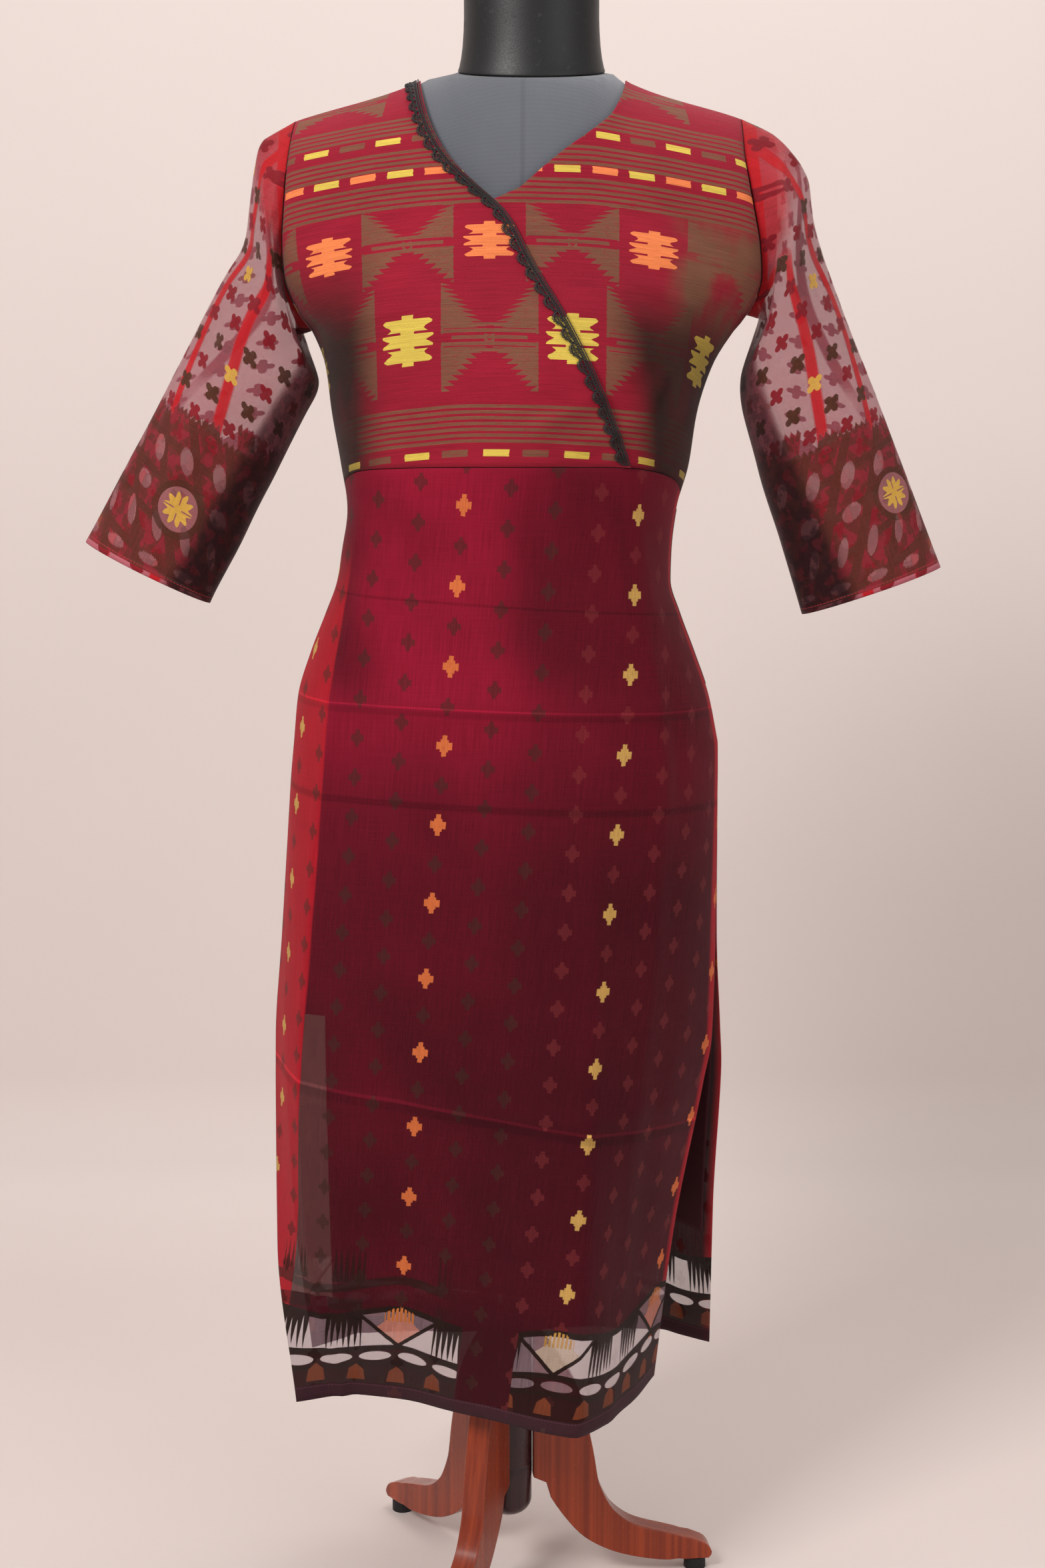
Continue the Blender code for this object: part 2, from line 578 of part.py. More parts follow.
def lining_rows(panel):
    """The skirt lining, made from the skirt's points moved in; narrower and shorter than the skirt."""
    first, last = (LINING_FRONT if panel == "front" else LINING_BACK)
    kept = [
        i for i, place in enumerate(skirt_places(panel)) if first - 0.01 <= place <= last + 0.01
    ]
    rows = [
        [row[i] for i in kept]
        for row, part in zip(skirt_rows(panel), SKIRT_PARTS)
        if 0 < part <= LINING_PART + 0.001
    ]
    return moved_in(rows, lambda z: CLOTH + SEAM + LINING_LOW_GAP * smooth_step(0.62, 0.40, z))


def sleeve_rows(name):
    """Rings of a sleeve, from the armhole to the cuff."""
    left = name == "sleeve_left"
    share = 0.0 if left else 1.0
    out = -1.0 if left else 1.0
    count = 2 * ARM_STEPS
    head = []
    for k in range(count):
        panel = "front" if k <= ARM_STEPS else "back"
        level = 2.0 * (k if k <= ARM_STEPS else count - k) / ARM_STEPS
        x, y, z = body_point(panel, last_place(panel) * share, level)
        head.append((x + out * 1.4 * SEAM, y, z))
    rings = [head]
    for number, row in enumerate(SLEEVES[name], start=1):
        outer_x, outer_z, inner_x, inner_z, middle_y, half_depth = row
        centre = ((outer_x + inner_x) / 2, (outer_z + inner_z) / 2)
        reach = ((outer_x - inner_x) / 2, (outer_z - inner_z) / 2)
        ring = []
        for k in range(count):
            degrees = 360.0 * k / count
            swell = 1.0
            for fold_degrees, first, last, depth in SLEEVE_FOLDS:
                strength = smooth_step(first, first + 1, number) * (1 - smooth_step(last - 1, last + 1, number))
                away = (degrees - fold_degrees) / FOLD_WIDTH_DEGREES
                swell += depth / half_depth * strength * math.exp(-(away**2))
            across = math.cos(math.radians(degrees)) * swell
            deep = math.sin(math.radians(degrees)) * swell
            ring.append((centre[0] + reach[0] * across, middle_y - half_depth * deep, centre[1] + reach[1] * across))
        rings.append(ring)
    return rings


def point_from_edge(row, distance):
    """Point on a panel's row at a distance in from its last point, and the row's direction there."""
    walked = 0.0
    for a, b in zip(row[::-1], row[-2::-1]):
        length = math.dist(a, b)
        if walked + length >= distance:
            t = (distance - walked) / length
            return tuple(a[k] + (b[k] - a[k]) * t for k in range(3))
        walked += length
    return row[0]


def lace_rows(panel_rows):
    """A scalloped strip along the wrap edge, made from the panel's points and moved out."""
    total = LACE_SCALLOPS * LACE_STEPS
    edge = [row[-1] for row in panel_rows]
    lengths = [0.0]
    for a, b in zip(edge, edge[1:]):
        lengths.append(lengths[-1] + math.dist(a, b))
    top, foot = LACE_EDGE_GAP, lengths[-1] - LACE_EDGE_GAP
    rows = []
    for step in range(total + 1):
        want = top + (foot - top) * step / total
        index = max(i for i in range(len(lengths) - 1) if lengths[i] <= want)
        t = (want - lengths[index]) / (lengths[index + 1] - lengths[index])
        scallop = abs(math.sin(math.pi * step / LACE_STEPS))
        row = []
        for share in (0.0, 0.5, 1.0):
            distance = 0.0004 + (LACE_WIDTH * (0.72 + 0.28 * scallop)) * share
            upper = point_from_edge(panel_rows[index], distance)
            lower = point_from_edge(panel_rows[index + 1], distance)
            row.append(tuple(upper[k] + (lower[k] - upper[k]) * t for k in range(3)))
        rows.append(row)
    return lifted(rows, LACE_LIFT + CLOTH)


def lifted(rows, distance):
    """Rows moved out along the sheet's normals, measured over several rows so that they stay even."""
    result = []
    for r, row in enumerate(rows):
        above, below = rows[max(r - 3, 0)], rows[min(r + 3, len(rows) - 1)]
        across = [row[0][k] - row[-1][k] for k in range(3)]
        down = [below[1][k] - above[1][k] for k in range(3)]
        normal = (
            down[1] * across[2] - down[2] * across[1],
            down[2] * across[0] - down[0] * across[2],
            down[0] * across[1] - down[1] * across[0],
        )
        length = math.sqrt(sum(value * value for value in normal))
        sign = -1.0 if normal[1] > 0 else 1.0
        result.append([tuple(p[k] + sign * normal[k] / length * distance for k in range(3)) for p in row])
    return result


def form_ring(z, clearance, front_y, back_y, count):
    """A smooth closed ring of the lower form, starting at its left side and passing the front."""
    left = curve_value(OUTLINE, max(z, SLIT_Z), 1) + clearance
    right = curve_value(OUTLINE, max(z, SLIT_Z), 2) - clearance
    middle, half = (left + right) / 2, (right - left) / 2
    ring = []
    for k in range(count):
        angle = 2 * math.pi * k / count
        squareness = 2 / FORM_SQUARENESS
        across = math.copysign(abs(math.cos(angle)) ** squareness, -math.cos(angle))
        deep = abs(math.sin(angle)) ** squareness
        y = front_y * deep if k <= count / 2 else back_y * deep
        ring.append((middle + half * across, y, z))
    return ring


def form_upper_rings(count):
    """Rings of the form's chest and shoulders, inside the bodice and seated against it on top."""
    rings = []
    half_count = count // 2
    for level in SHOULDER_LEVELS:
        angle = level * math.pi / 2
        ring = []
        for k in range(count):
            front = k <= half_count
            panel = "front" if front else "back"
            snug = FORM_SNUG if front else FORM_BACK_SNUG
            clearance = FORM_CLEARANCE if front else FORM_BACK_CLEARANCE
            share = k / half_count if front else (count - k) / half_count
            z = CHEST_Z + (CHEST_Z - underarm(share)) * min(0.0, math.cos(angle))
            points = section(panel, z)
            x, y = along(points, share * last_place(panel))
            part = (x - points[0][0]) / (points[-1][0] - points[0][0])
            x = FORM_LEFT_X + (FORM_RIGHT_X - FORM_LEFT_X) * part
            side = -1.0 if front else 1.0
            if level < 1:
                z += (shoulder_z(x) - snug - CHEST_Z) * math.cos(angle)
                y *= math.sin(angle)
            y = side * max(0.0, abs(y) - clearance * math.sin(angle))
            ring.append((x, y, min(z, NECK_BASE_Z + NECK_BASE_TILT * y)))
        rings.append(ring)
    return rings


def lower_form_rings(heights):
    return [
        form_ring(z, *(curve_value(FORM_LOWER, z, i) for i in (1, 2, 3)), FORM_COLUMNS) for z in heights
    ]


def make_form():
    upper = form_upper_rings(FORM_COLUMNS)
    lower = lower_form_rings((*CHEST_HEIGHTS, FORM_SPLIT_Z))
    closed_body("form_bust", upper + lower, (0.115, 0.120, 0.145), 0.75, zip_top=True)
    hips = lower_form_rings((FORM_SPLIT_Z - SEAM, *HIP_HEIGHTS, FORM_BOTTOM_Z))
    closed_body("form_hips", hips, (0.012, 0.012, 0.014), 0.6)


def make_neck():
    """The neck block, an oval stub on the tilted plane on top of the form, with a domed top."""
    count = 32
    rings = []
    for height, half_x, half_y in NECK_PROFILE:
        ring = []
        for k in range(count):
            angle = 2 * math.pi * k / count
            x = NECK_X + half_x * math.cos(angle)
            y = half_y * math.sin(angle)
            base = NECK_BASE_Z + SEAM + NECK_BASE_TILT * y
            ring.append((x, y, base + (NECK_TOP_Z - base) * height))
        rings.append(ring[::-1])
    closed_body("form_neck", rings, (0.010, 0.010, 0.011), 0.55)


def make_arm_plates():
    """Rounded oval plates that close the form's armholes."""
    count = 20
    for name, (seat_x, tip_x, centre_z) in ARM_PLATES.items():
        rings = []
        for along_share, size in PLATE_ROUNDING:
            x = seat_x + (tip_x - seat_x) * along_share
            half_depth, half_height = PLATE_HALF_DEPTH * size, PLATE_HALF_HEIGHT * size
            angles = (2 * math.pi * k / count for k in range(count))
            rings.append(
                [(x, half_depth * math.cos(a), centre_z + half_height * math.sin(a)) for a in angles]
            )
        closed_body("form_arm_plate_" + name, rings, (0.010, 0.010, 0.011), 0.5)


def turned(name, profile, colour, roughness, steps):
    """A turned solid from a profile that runs down its outer side: radius, height."""
    curve = bmesh.new()
    verts = [curve.verts.new((radius, 0.0, z)) for radius, z in profile]
    for a, b in zip(verts, verts[1:]):
        curve.edges.new((a, b))
    mesh = bpy.data.meshes.new(name)
    curve.to_mesh(mesh)
    curve.free()
    piece = new_object(name, mesh, colour, roughness)
    piece.location = (POLE_X, POLE_Y, 0.0)
    screw = piece.modifiers.new("turn", "SCREW")
    screw.steps = steps
    screw.render_steps = steps
    screw.use_merge_vertices = True
    screw.merge_threshold = 0.00001
    return piece


def make_pole_and_hub():
    wood = (0.060, 0.012, 0.008)
    pole_top = FORM_BOTTOM_Z - SEAM
    pole_foot = HUB_TOP_Z + SEAM
    pole = ((0.0, pole_top), (POLE_RADIUS, pole_top), (POLE_RADIUS, pole_foot), (0.0, pole_foot))
    turned("stand_pole", pole, (0.35, 0.35, 0.36), 0.35, 20)
    round_foot = [
        (HUB_RADIUS * math.cos(a), HUB_BOTTOM_Z + 0.016 * (1 - math.sin(a)))
        for a in (math.radians(15 * k) for k in range(6))
    ]
    hub = [(0.0, HUB_TOP_Z), (0.0170, HUB_TOP_Z), (HUB_RADIUS, HUB_TOP_Z - 0.006)] + round_foot
    turned("stand_hub", hub + [(0.0, HUB_BOTTOM_Z)], wood, 0.35, 24)


def leg_outline():
    """Closed outline of a leg in its own plane, with a rolled foot that ends flat above its pad."""
    upper, lower = [], []
    for i, (r, z, width) in enumerate(LEG_CURVE):
        before, after = LEG_CURVE[max(i - 1, 0)], LEG_CURVE[min(i + 1, len(LEG_CURVE) - 1)]
        dr, dz = after[0] - before[0], after[1] - before[1]
        length = math.hypot(dr, dz)
        half = width / 2
        upper.append((r - dz / length * half, z + dr / length * half))
        lower.append((r + dz / length * half, z - dr / length * half))
    hub_side = HUB_RADIUS + SEAM
    upper[0] = (hub_side, LEG_ROOT_TOP_Z)
    lower = [(hub_side, LEG_ROOT_FOOT_Z), LEG_HUB_CORNER] + lower[3:]
    flat = [(r, PAD_HEIGHT + SEAM) for r in LEG_FLAT]
    return upper[:-1] + list(LEG_TOE) + flat + [LEG_INSTEP] + lower[-2::-1]


def make_legs():
    wood = (0.200, 0.032, 0.010)
    for name, degrees in LEG_ANGLES.items():
        half = LEG_THICKNESS / 2
        sides = [[(r, y, z) for r, z in leg_outline()] for y in (-half, half)]
        leg = closed_body("stand_leg_" + name, sides, wood, 0.35)
        leg.data.set_sharp_from_angle(angle=math.radians(40))
        leg.location = (POLE_X, POLE_Y, 0.0)
        leg.rotation_euler = (0.0, 0.0, math.radians(degrees))
        make_pad(name, degrees)


def make_pad(name, degrees):
    x = POLE_X + PAD_REACH * math.cos(math.radians(degrees))
    y = POLE_Y + PAD_REACH * math.sin(math.radians(degrees))
    bpy.ops.mesh.primitive_cylinder_add(
        vertices=20, radius=PAD_RADIUS, depth=PAD_HEIGHT, location=(x, y, PAD_HEIGHT / 2)
    )
    pad = bpy.context.object
    pad.name = "foot_pad_" + name
    for owner in list(pad.users_collection):
        owner.objects.unlink(pad)
    bpy.data.collections[COLLECTION].objects.link(pad)
    pad.data.materials.append(new_material(f"foot_pad_{name}_finish", (0.01, 0.01, 0.01), 0.8))


def make_kurta():
    crimson, deep = (0.260, 0.012, 0.030), (0.070, 0.006, 0.014)
    over = over_panel_rows()
    cloth_piece("front_over_panel", over, crimson)
    cloth_piece("front_under_panel", under_panel_rows(), crimson)
    cloth_piece("bodice_back", back_panel_rows(), crimson, flip=True)
    cloth_piece("skirt_front", skirt_rows("front"), crimson)
    cloth_piece("skirt_back", skirt_rows("back"), crimson, flip=True)
    cloth_piece("lining_front", lining_rows("front"), deep)
    cloth_piece("lining_back", lining_rows("back"), deep, flip=True)
    cloth_piece("sleeve_left", sleeve_rows("sleeve_left"), crimson, closed=True)
    cloth_piece("sleeve_right", sleeve_rows("sleeve_right"), crimson, closed=True, flip=True)
    cloth_piece("lace_trim", lace_rows(over), (0.008, 0.008, 0.009), flip=True)


def main():
    remove_old_objects()
    group = bpy.data.collections.new(COLLECTION)
    bpy.context.scene.collection.children.link(group)
    make_kurta()
    make_form()
    make_neck()
    make_arm_plates()
    make_pole_and_hub()
    make_legs()


main()
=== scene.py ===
"""Looks of the kurta tunic with a crossed front, on its limbless dress form and stand."""
import bisect
import functools
import json
import math

import bmesh
import bpy
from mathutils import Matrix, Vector, noise

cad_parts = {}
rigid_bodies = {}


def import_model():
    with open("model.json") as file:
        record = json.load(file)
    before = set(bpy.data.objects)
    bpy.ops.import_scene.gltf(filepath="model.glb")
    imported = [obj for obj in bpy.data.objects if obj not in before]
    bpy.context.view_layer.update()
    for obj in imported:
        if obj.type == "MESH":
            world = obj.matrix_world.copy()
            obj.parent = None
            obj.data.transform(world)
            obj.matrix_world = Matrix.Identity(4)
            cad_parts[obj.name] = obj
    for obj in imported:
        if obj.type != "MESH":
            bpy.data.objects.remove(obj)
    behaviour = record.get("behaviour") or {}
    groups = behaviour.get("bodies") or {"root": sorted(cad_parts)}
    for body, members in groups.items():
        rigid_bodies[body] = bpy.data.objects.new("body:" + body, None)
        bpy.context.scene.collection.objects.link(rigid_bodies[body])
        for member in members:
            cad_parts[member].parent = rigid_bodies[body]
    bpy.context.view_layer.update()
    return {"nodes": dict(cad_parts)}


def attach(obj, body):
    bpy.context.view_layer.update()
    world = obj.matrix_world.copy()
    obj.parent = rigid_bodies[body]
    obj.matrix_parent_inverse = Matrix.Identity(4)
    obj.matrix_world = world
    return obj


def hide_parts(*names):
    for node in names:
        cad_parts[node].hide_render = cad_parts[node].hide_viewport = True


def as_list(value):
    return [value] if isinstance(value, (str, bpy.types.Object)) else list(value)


for old in list(bpy.data.objects):
    bpy.data.objects.remove(old, do_unlink=True)
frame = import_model()

# Driving sizes, in metres
CLOTH = 0.0012            # wall of every cloth piece
SEAM = 0.0006             # gap left between pieces at a seam
CHEST_Z = 1.2155          # height of the neck point of the crossed front, widest part of the armholes
UNDERARM_LEFT_Z = 1.118
UNDERARM_RIGHT_Z = 1.131
ARMHOLE_DEPTH = 0.045     # half of an armhole, front to back
WAIST_Z = 1.005           # waist seam at the middle
WAIST_DIP = 0.03          # how far the waist seam drops at the side seams
SLIT_Z = 0.77             # top of the side slits
HEM_Z = 0.192
LACE_SCALLOPS = 30
FORM_TOP_Z = 1.105        # where the form's lower rings start
FORM_SPLIT_Z = 0.812      # where the grey upper form meets the black hips
FORM_BOTTOM_Z = 0.53
NECK_BASE_Z = 1.3285      # plane where the neck block starts, at the form's axis
NECK_BASE_TILT = 0.22     # rise of that plane towards the back
NECK_TOP_Z = 1.398
NECK_X = 0.0155
POLE_X = -0.0045
POLE_Y = 0.008
HUB_RADIUS = 0.0208
HUB_TOP_Z = 0.262
HUB_BOTTOM_Z = 0.062
LEG_THICKNESS = 0.021
LEG_ANGLES = {"back_left": 127.0, "right": 7.0, "front": -113.0}
PAD_HEIGHT = 0.011
OPEN_EDGE_Z = 1.29        # height on the outline where the armholes' upper edge ends
SIDE_COLUMNS = 18         # columns of a front panel on one layer of cloth
LAP_COLUMNS = 28          # columns where the front panels lie on each other
SIDE_CROWD = 0.35         # how much the front's columns crowd towards the side seams
TURN_SHARE = 0.72         # most of the way to the wrap edge that the first columns may reach
RESUME_SHARE = 0.3        # least of the way from the inner edge where the last columns start
BACK_COLUMNS = 65
BACK_CROWD = 0.035        # how much the back's columns crowd towards them
UNDER_BESIDE = (0.15, 1.1)  # places past the wrap edge over which the under panel comes out
UNDER_ABOVE = (0.02, 0.05)  # heights above the chest over which it does the same
BACK_NECK_STEPS = 16      # steps across the back by which its neck is placed
BACK_NECK_COLUMNS = (5, 11)  # steps where the neck starts and ends
BACK_NECK_DROP = 0.48     # how far down the neck is cut, as a share of shoulder seam to chest
LINING_FRONT = (1.1, 4.8)  # first and last column kept, in places across the skirt
LINING_BACK = (0.6, 3.9)
LINING_PART = 0.86        # share of the skirt's length that is lined
LINING_LOW_GAP = 0.0035   # how much further in the lining hangs below the hips
FORM_CLEARANCE = 0.0075   # from the outside of the cloth to the form, at the chest
FORM_BACK_CLEARANCE = 0.011
FORM_SNUG = 0.0031        # from the cloth to the form at the shoulders, where it rests
FORM_BACK_SNUG = 0.008
FORM_SQUARENESS = 2.05
FORM_LEFT_X = -0.165      # flat sides of the form where the arm plates sit
FORM_RIGHT_X = 0.183
LAST_PLACE = {"front": 5.0, "back": 4.0}  # a panel's places run from 0 at its left edge to this
SIDE = {"front": -1.0, "back": 1.0}

# Outline of the body at the side seams: height, left, right
OUTLINE = (
    (1.32, -0.174, 0.183), (1.29, -0.1795, 0.1885), (1.262, -0.183, 0.189),
    (1.237, -0.1855, 0.193), (1.2155, -0.187, 0.197), (1.184, -0.189, 0.203),
    (1.16, -0.188, 0.205), (1.131, -0.1775, 0.1965), (1.118, -0.169, 0.186),
    (1.089, -0.158, 0.168), (1.05, -0.153, 0.1555), (1.006, -0.1455, 0.1488),
    (0.97, -0.1402, 0.1388), (0.935, -0.1456, 0.1345), (0.909, -0.15, 0.1338),
    (0.882, -0.16, 0.142), (0.848, -0.1735, 0.155), (0.811, -0.1848, 0.168),
    (0.77, -0.189, 0.1765),
)

# Side edges below the slits: height, front left x y, front right x y, back left x y, back right x y
SLIT_EDGES = (
    (0.77, -0.189, 0.0, 0.1765, 0.0, -0.189, 0.0, 0.1765, 0.0),
    (0.74, -0.192, 0.0, 0.1768, -0.001, -0.1915, 0.002, 0.1772, 0.003),
    (0.6, -0.2018, -0.006, 0.1765, -0.003, -0.1995, 0.012, 0.1792, 0.016),
    (0.51, -0.208, -0.011, 0.1745, -0.002, -0.204, 0.022, 0.1845, 0.03),
    (0.47, -0.2082, -0.015, 0.168, 0.0, -0.204, 0.03, 0.1868, 0.04),
    (0.33, -0.2072, -0.03, 0.143, 0.006, -0.2, 0.052, 0.183, 0.066),
    (0.192, -0.1905, -0.05, 0.127, 0.01, -0.188, 0.076, 0.1832, 0.09),
)

# Front, inside its edges: height, left corner x y, middle x y, ridge x y, right corner x y
FRONT = (
    (1.2155, -0.14, -0.074, 0.013, -0.092, 0.082, -0.088, 0.156, -0.07),
    (1.16, -0.135, -0.084, 0.011, -0.108, 0.079, -0.103, 0.15, -0.08),
    (1.118, -0.125, -0.09, 0.008, -0.12, 0.075, -0.114, 0.14, -0.086),
    (1.08, -0.118, -0.093, 0.004, -0.124, 0.07, -0.118, 0.128, -0.09),
    (1.04, -0.118, -0.086, -0.005, -0.117, 0.062, -0.111, 0.116, -0.086),
    (1.004, -0.12, -0.076, -0.008, -0.11, 0.057, -0.104, 0.108, -0.079),
    (0.93, -0.123, -0.072, -0.01, -0.106, 0.056, -0.1, 0.106, -0.076),
    (0.88, -0.132, -0.075, -0.01, -0.11, 0.06, -0.104, 0.114, -0.078),
    (0.81, -0.148, -0.082, -0.01, -0.118, 0.066, -0.113, 0.13, -0.082),
    (0.74, -0.155, -0.084, -0.011, -0.122, 0.07, -0.118, 0.138, -0.08),
    (0.6, -0.166, -0.082, -0.015, -0.118, 0.069, -0.118, 0.137, -0.07),
    (0.47, -0.174, -0.075, -0.02, -0.108, 0.065, -0.118, 0.13, -0.058),
    (0.33, -0.169, -0.059, -0.027, -0.096, 0.059, -0.12, 0.116, -0.04),
    (0.192, -0.137, -0.033, -0.03, -0.082, 0.0536, -0.121, 0.1, -0.058),
)

# Back, inside its edges: height, left corner x y, middle x y, right corner x y
BACK = (
    (1.2155, -0.135, 0.078, 0.013, 0.088, 0.151, 0.078),
    (1.16, -0.131, 0.082, 0.011, 0.094, 0.145, 0.082),
    (1.118, -0.122, 0.079, 0.008, 0.093, 0.137, 0.079),
    (1.08, -0.116, 0.072, 0.004, 0.087, 0.126, 0.072),
    (1.004, -0.106, 0.06, 0.0, 0.076, 0.104, 0.06),
    (0.93, -0.105, 0.058, -0.002, 0.074, 0.098, 0.058),
    (0.88, -0.115, 0.067, -0.004, 0.088, 0.105, 0.067),
    (0.81, -0.132, 0.087, -0.005, 0.115, 0.12, 0.087),
    (0.74, -0.138, 0.095, -0.005, 0.127, 0.126, 0.095),
    (0.6, -0.143, 0.099, -0.005, 0.13, 0.13, 0.1),
    (0.47, -0.145, 0.104, -0.003, 0.128, 0.135, 0.11),
    (0.33, -0.143, 0.108, 0.0, 0.124, 0.134, 0.118),
    (0.192, -0.138, 0.112, 0.002, 0.12, 0.128, 0.122),
)

# Edge of the upper front panel, and neck and inner edge of the under panel: height, x
WRAP_EDGE = (
    (1.345, -0.08), (1.317, -0.0759), (1.2886, -0.0694), (1.2657, -0.0598), (1.2471, -0.047),
    (1.2307, -0.0299), (1.2057, -0.0032), (1.1673, 0.0174), (1.1233, 0.0439), (1.0769, 0.0677),
    (1.0273, 0.0888), (1.0036, 0.0965), (0.96, 0.11),
)
UNDER_EDGE = (
    (1.345, 0.096), (1.3193, 0.0931), (1.2887, 0.0813), (1.2758, 0.068), (1.2541, 0.0384),
    (1.2367, 0.0175), (1.2251, 0.0035), (1.2155, -0.02), (1.1, -0.062), (0.96, -0.113),
)

# Height of the shoulders over the form, from the left shoulder to the right: x, height
SHOULDER_LINE = (
    (-0.21, 1.279), (-0.1795, 1.2894), (-0.085, 1.3175), (-0.03, 1.35),
    (0.0155, 1.36), (0.06, 1.35), (0.098, 1.3191), (0.1885, 1.2913), (0.23, 1.276),
)

# Folds of the skirt: panel, place across at the top and at the hem, top z, foot z, width, depth
SKIRT_FOLDS = (
    ("front", 3.0, 3.0, 0.86, 0.192, 0.01, 0.0045),
    ("front", 3.95, 3.6, 1.0, 0.42, 0.008, 0.003),
    ("front", 1.0, 0.75, 1.0, 0.192, 0.008, 0.0035),
    ("front", 1.6, 1.45, 0.7, 0.192, 0.016, -0.004),
    ("back", 0.95, 0.8, 0.9, 0.192, 0.014, 0.004),
    ("back", 1.7, 1.6, 0.82, 0.192, 0.018, -0.005),
    ("back", 2.45, 2.55, 0.78, 0.192, 0.016, 0.0045),
    ("back", 3.1, 3.25, 0.86, 0.192, 0.014, 0.004),
)

# Pressed lines across the skirt: height at the left, height at the right, half width, depth
PRESSED_LINES = (
    (0.812, 0.806, 0.01, 0.0022),
    (0.476, 0.458, 0.01, 0.003),
)

# Sleeves: outer edge x z, inner edge x z, middle y, half depth
SLEEVES = {
    "sleeve_left": (
        (-0.207, 1.274, -0.1835, 1.113, 0.0, 0.048),
        (-0.215, 1.252, -0.177, 1.101, 0.0, 0.052),
        (-0.22, 1.223, -0.169, 1.087, 0.0, 0.054),
        (-0.2255, 1.19, -0.165, 1.073, 0.0, 0.055),
        (-0.243, 1.16, -0.1765, 1.048, 0.0, 0.053),
        (-0.273, 1.105, -0.1992, 1.004, -0.002, 0.048),
        (-0.303, 1.051, -0.2192, 0.965, -0.004, 0.042),
        (-0.333, 0.996, -0.239, 0.927, -0.006, 0.037),
        (-0.363, 0.9419, -0.2583, 0.8898, -0.008, 0.033),
    ),
    "sleeve_right": (
        (0.216, 1.279, 0.215, 1.126, 0.0, 0.048),
        (0.232, 1.265, 0.209, 1.112, 0.0, 0.052),
        (0.245, 1.243, 0.201, 1.096, 0.0, 0.054),
        (0.251, 1.208, 0.193, 1.079, 0.0, 0.055),
        (0.262, 1.174, 0.1945, 1.052, 0.0, 0.053),
        (0.287, 1.112, 0.207, 1.006, -0.002, 0.048),
        (0.313, 1.048, 0.22, 0.964, -0.004, 0.042),
        (0.338, 0.985, 0.2335, 0.922, -0.006, 0.037),
        (0.3635, 0.9206, 0.2469, 0.8804, -0.008, 0.033),
    ),
}

# Soft folds down the sleeves: degrees from the outer edge over the front, first and last ring, depth
SLEEVE_FOLDS = (
    (40.0, 0.5, 5.5, -0.0045), (75.0, 0.5, 8.5, 0.0045), (110.0, 0.5, 4.5, -0.004),
    (250.0, 0.5, 5.5, -0.004), (290.0, 0.5, 8.5, 0.004),
)

# Lower form: height, clearance at the sides, front y, back y
FORM_LOWER = (
    (1.118, 0.005, -0.108, 0.085), (1.08, 0.005, -0.113, 0.078), (1.004, 0.006, -0.098, 0.067),
    (0.92, 0.006, -0.093, 0.064), (0.87, 0.0055, -0.098, 0.078), (0.81, 0.004, -0.105, 0.098),
    (0.74, 0.0035, -0.108, 0.108), (0.66, 0.006, -0.105, 0.109), (0.59, 0.016, -0.098, 0.103),
    (0.53, 0.032, -0.086, 0.092),
)

# A leg in its own plane: distance from the pole, height, width across the curve
LEG_CURVE = (
    (0.02, 0.205, 0.05), (0.036, 0.165, 0.06), (0.048, 0.12, 0.056), (0.062, 0.08, 0.044),
    (0.083, 0.05, 0.036), (0.11, 0.034, 0.03), (0.14, 0.026, 0.027), (0.162, 0.022, 0.022),
)

CREASE_STRENGTH = 1.7
SEAM_X = 0.006            # middle seam of the form's jersey
PATTERN_DROOP = 0.0125    # how far the woven rows sink towards the armholes

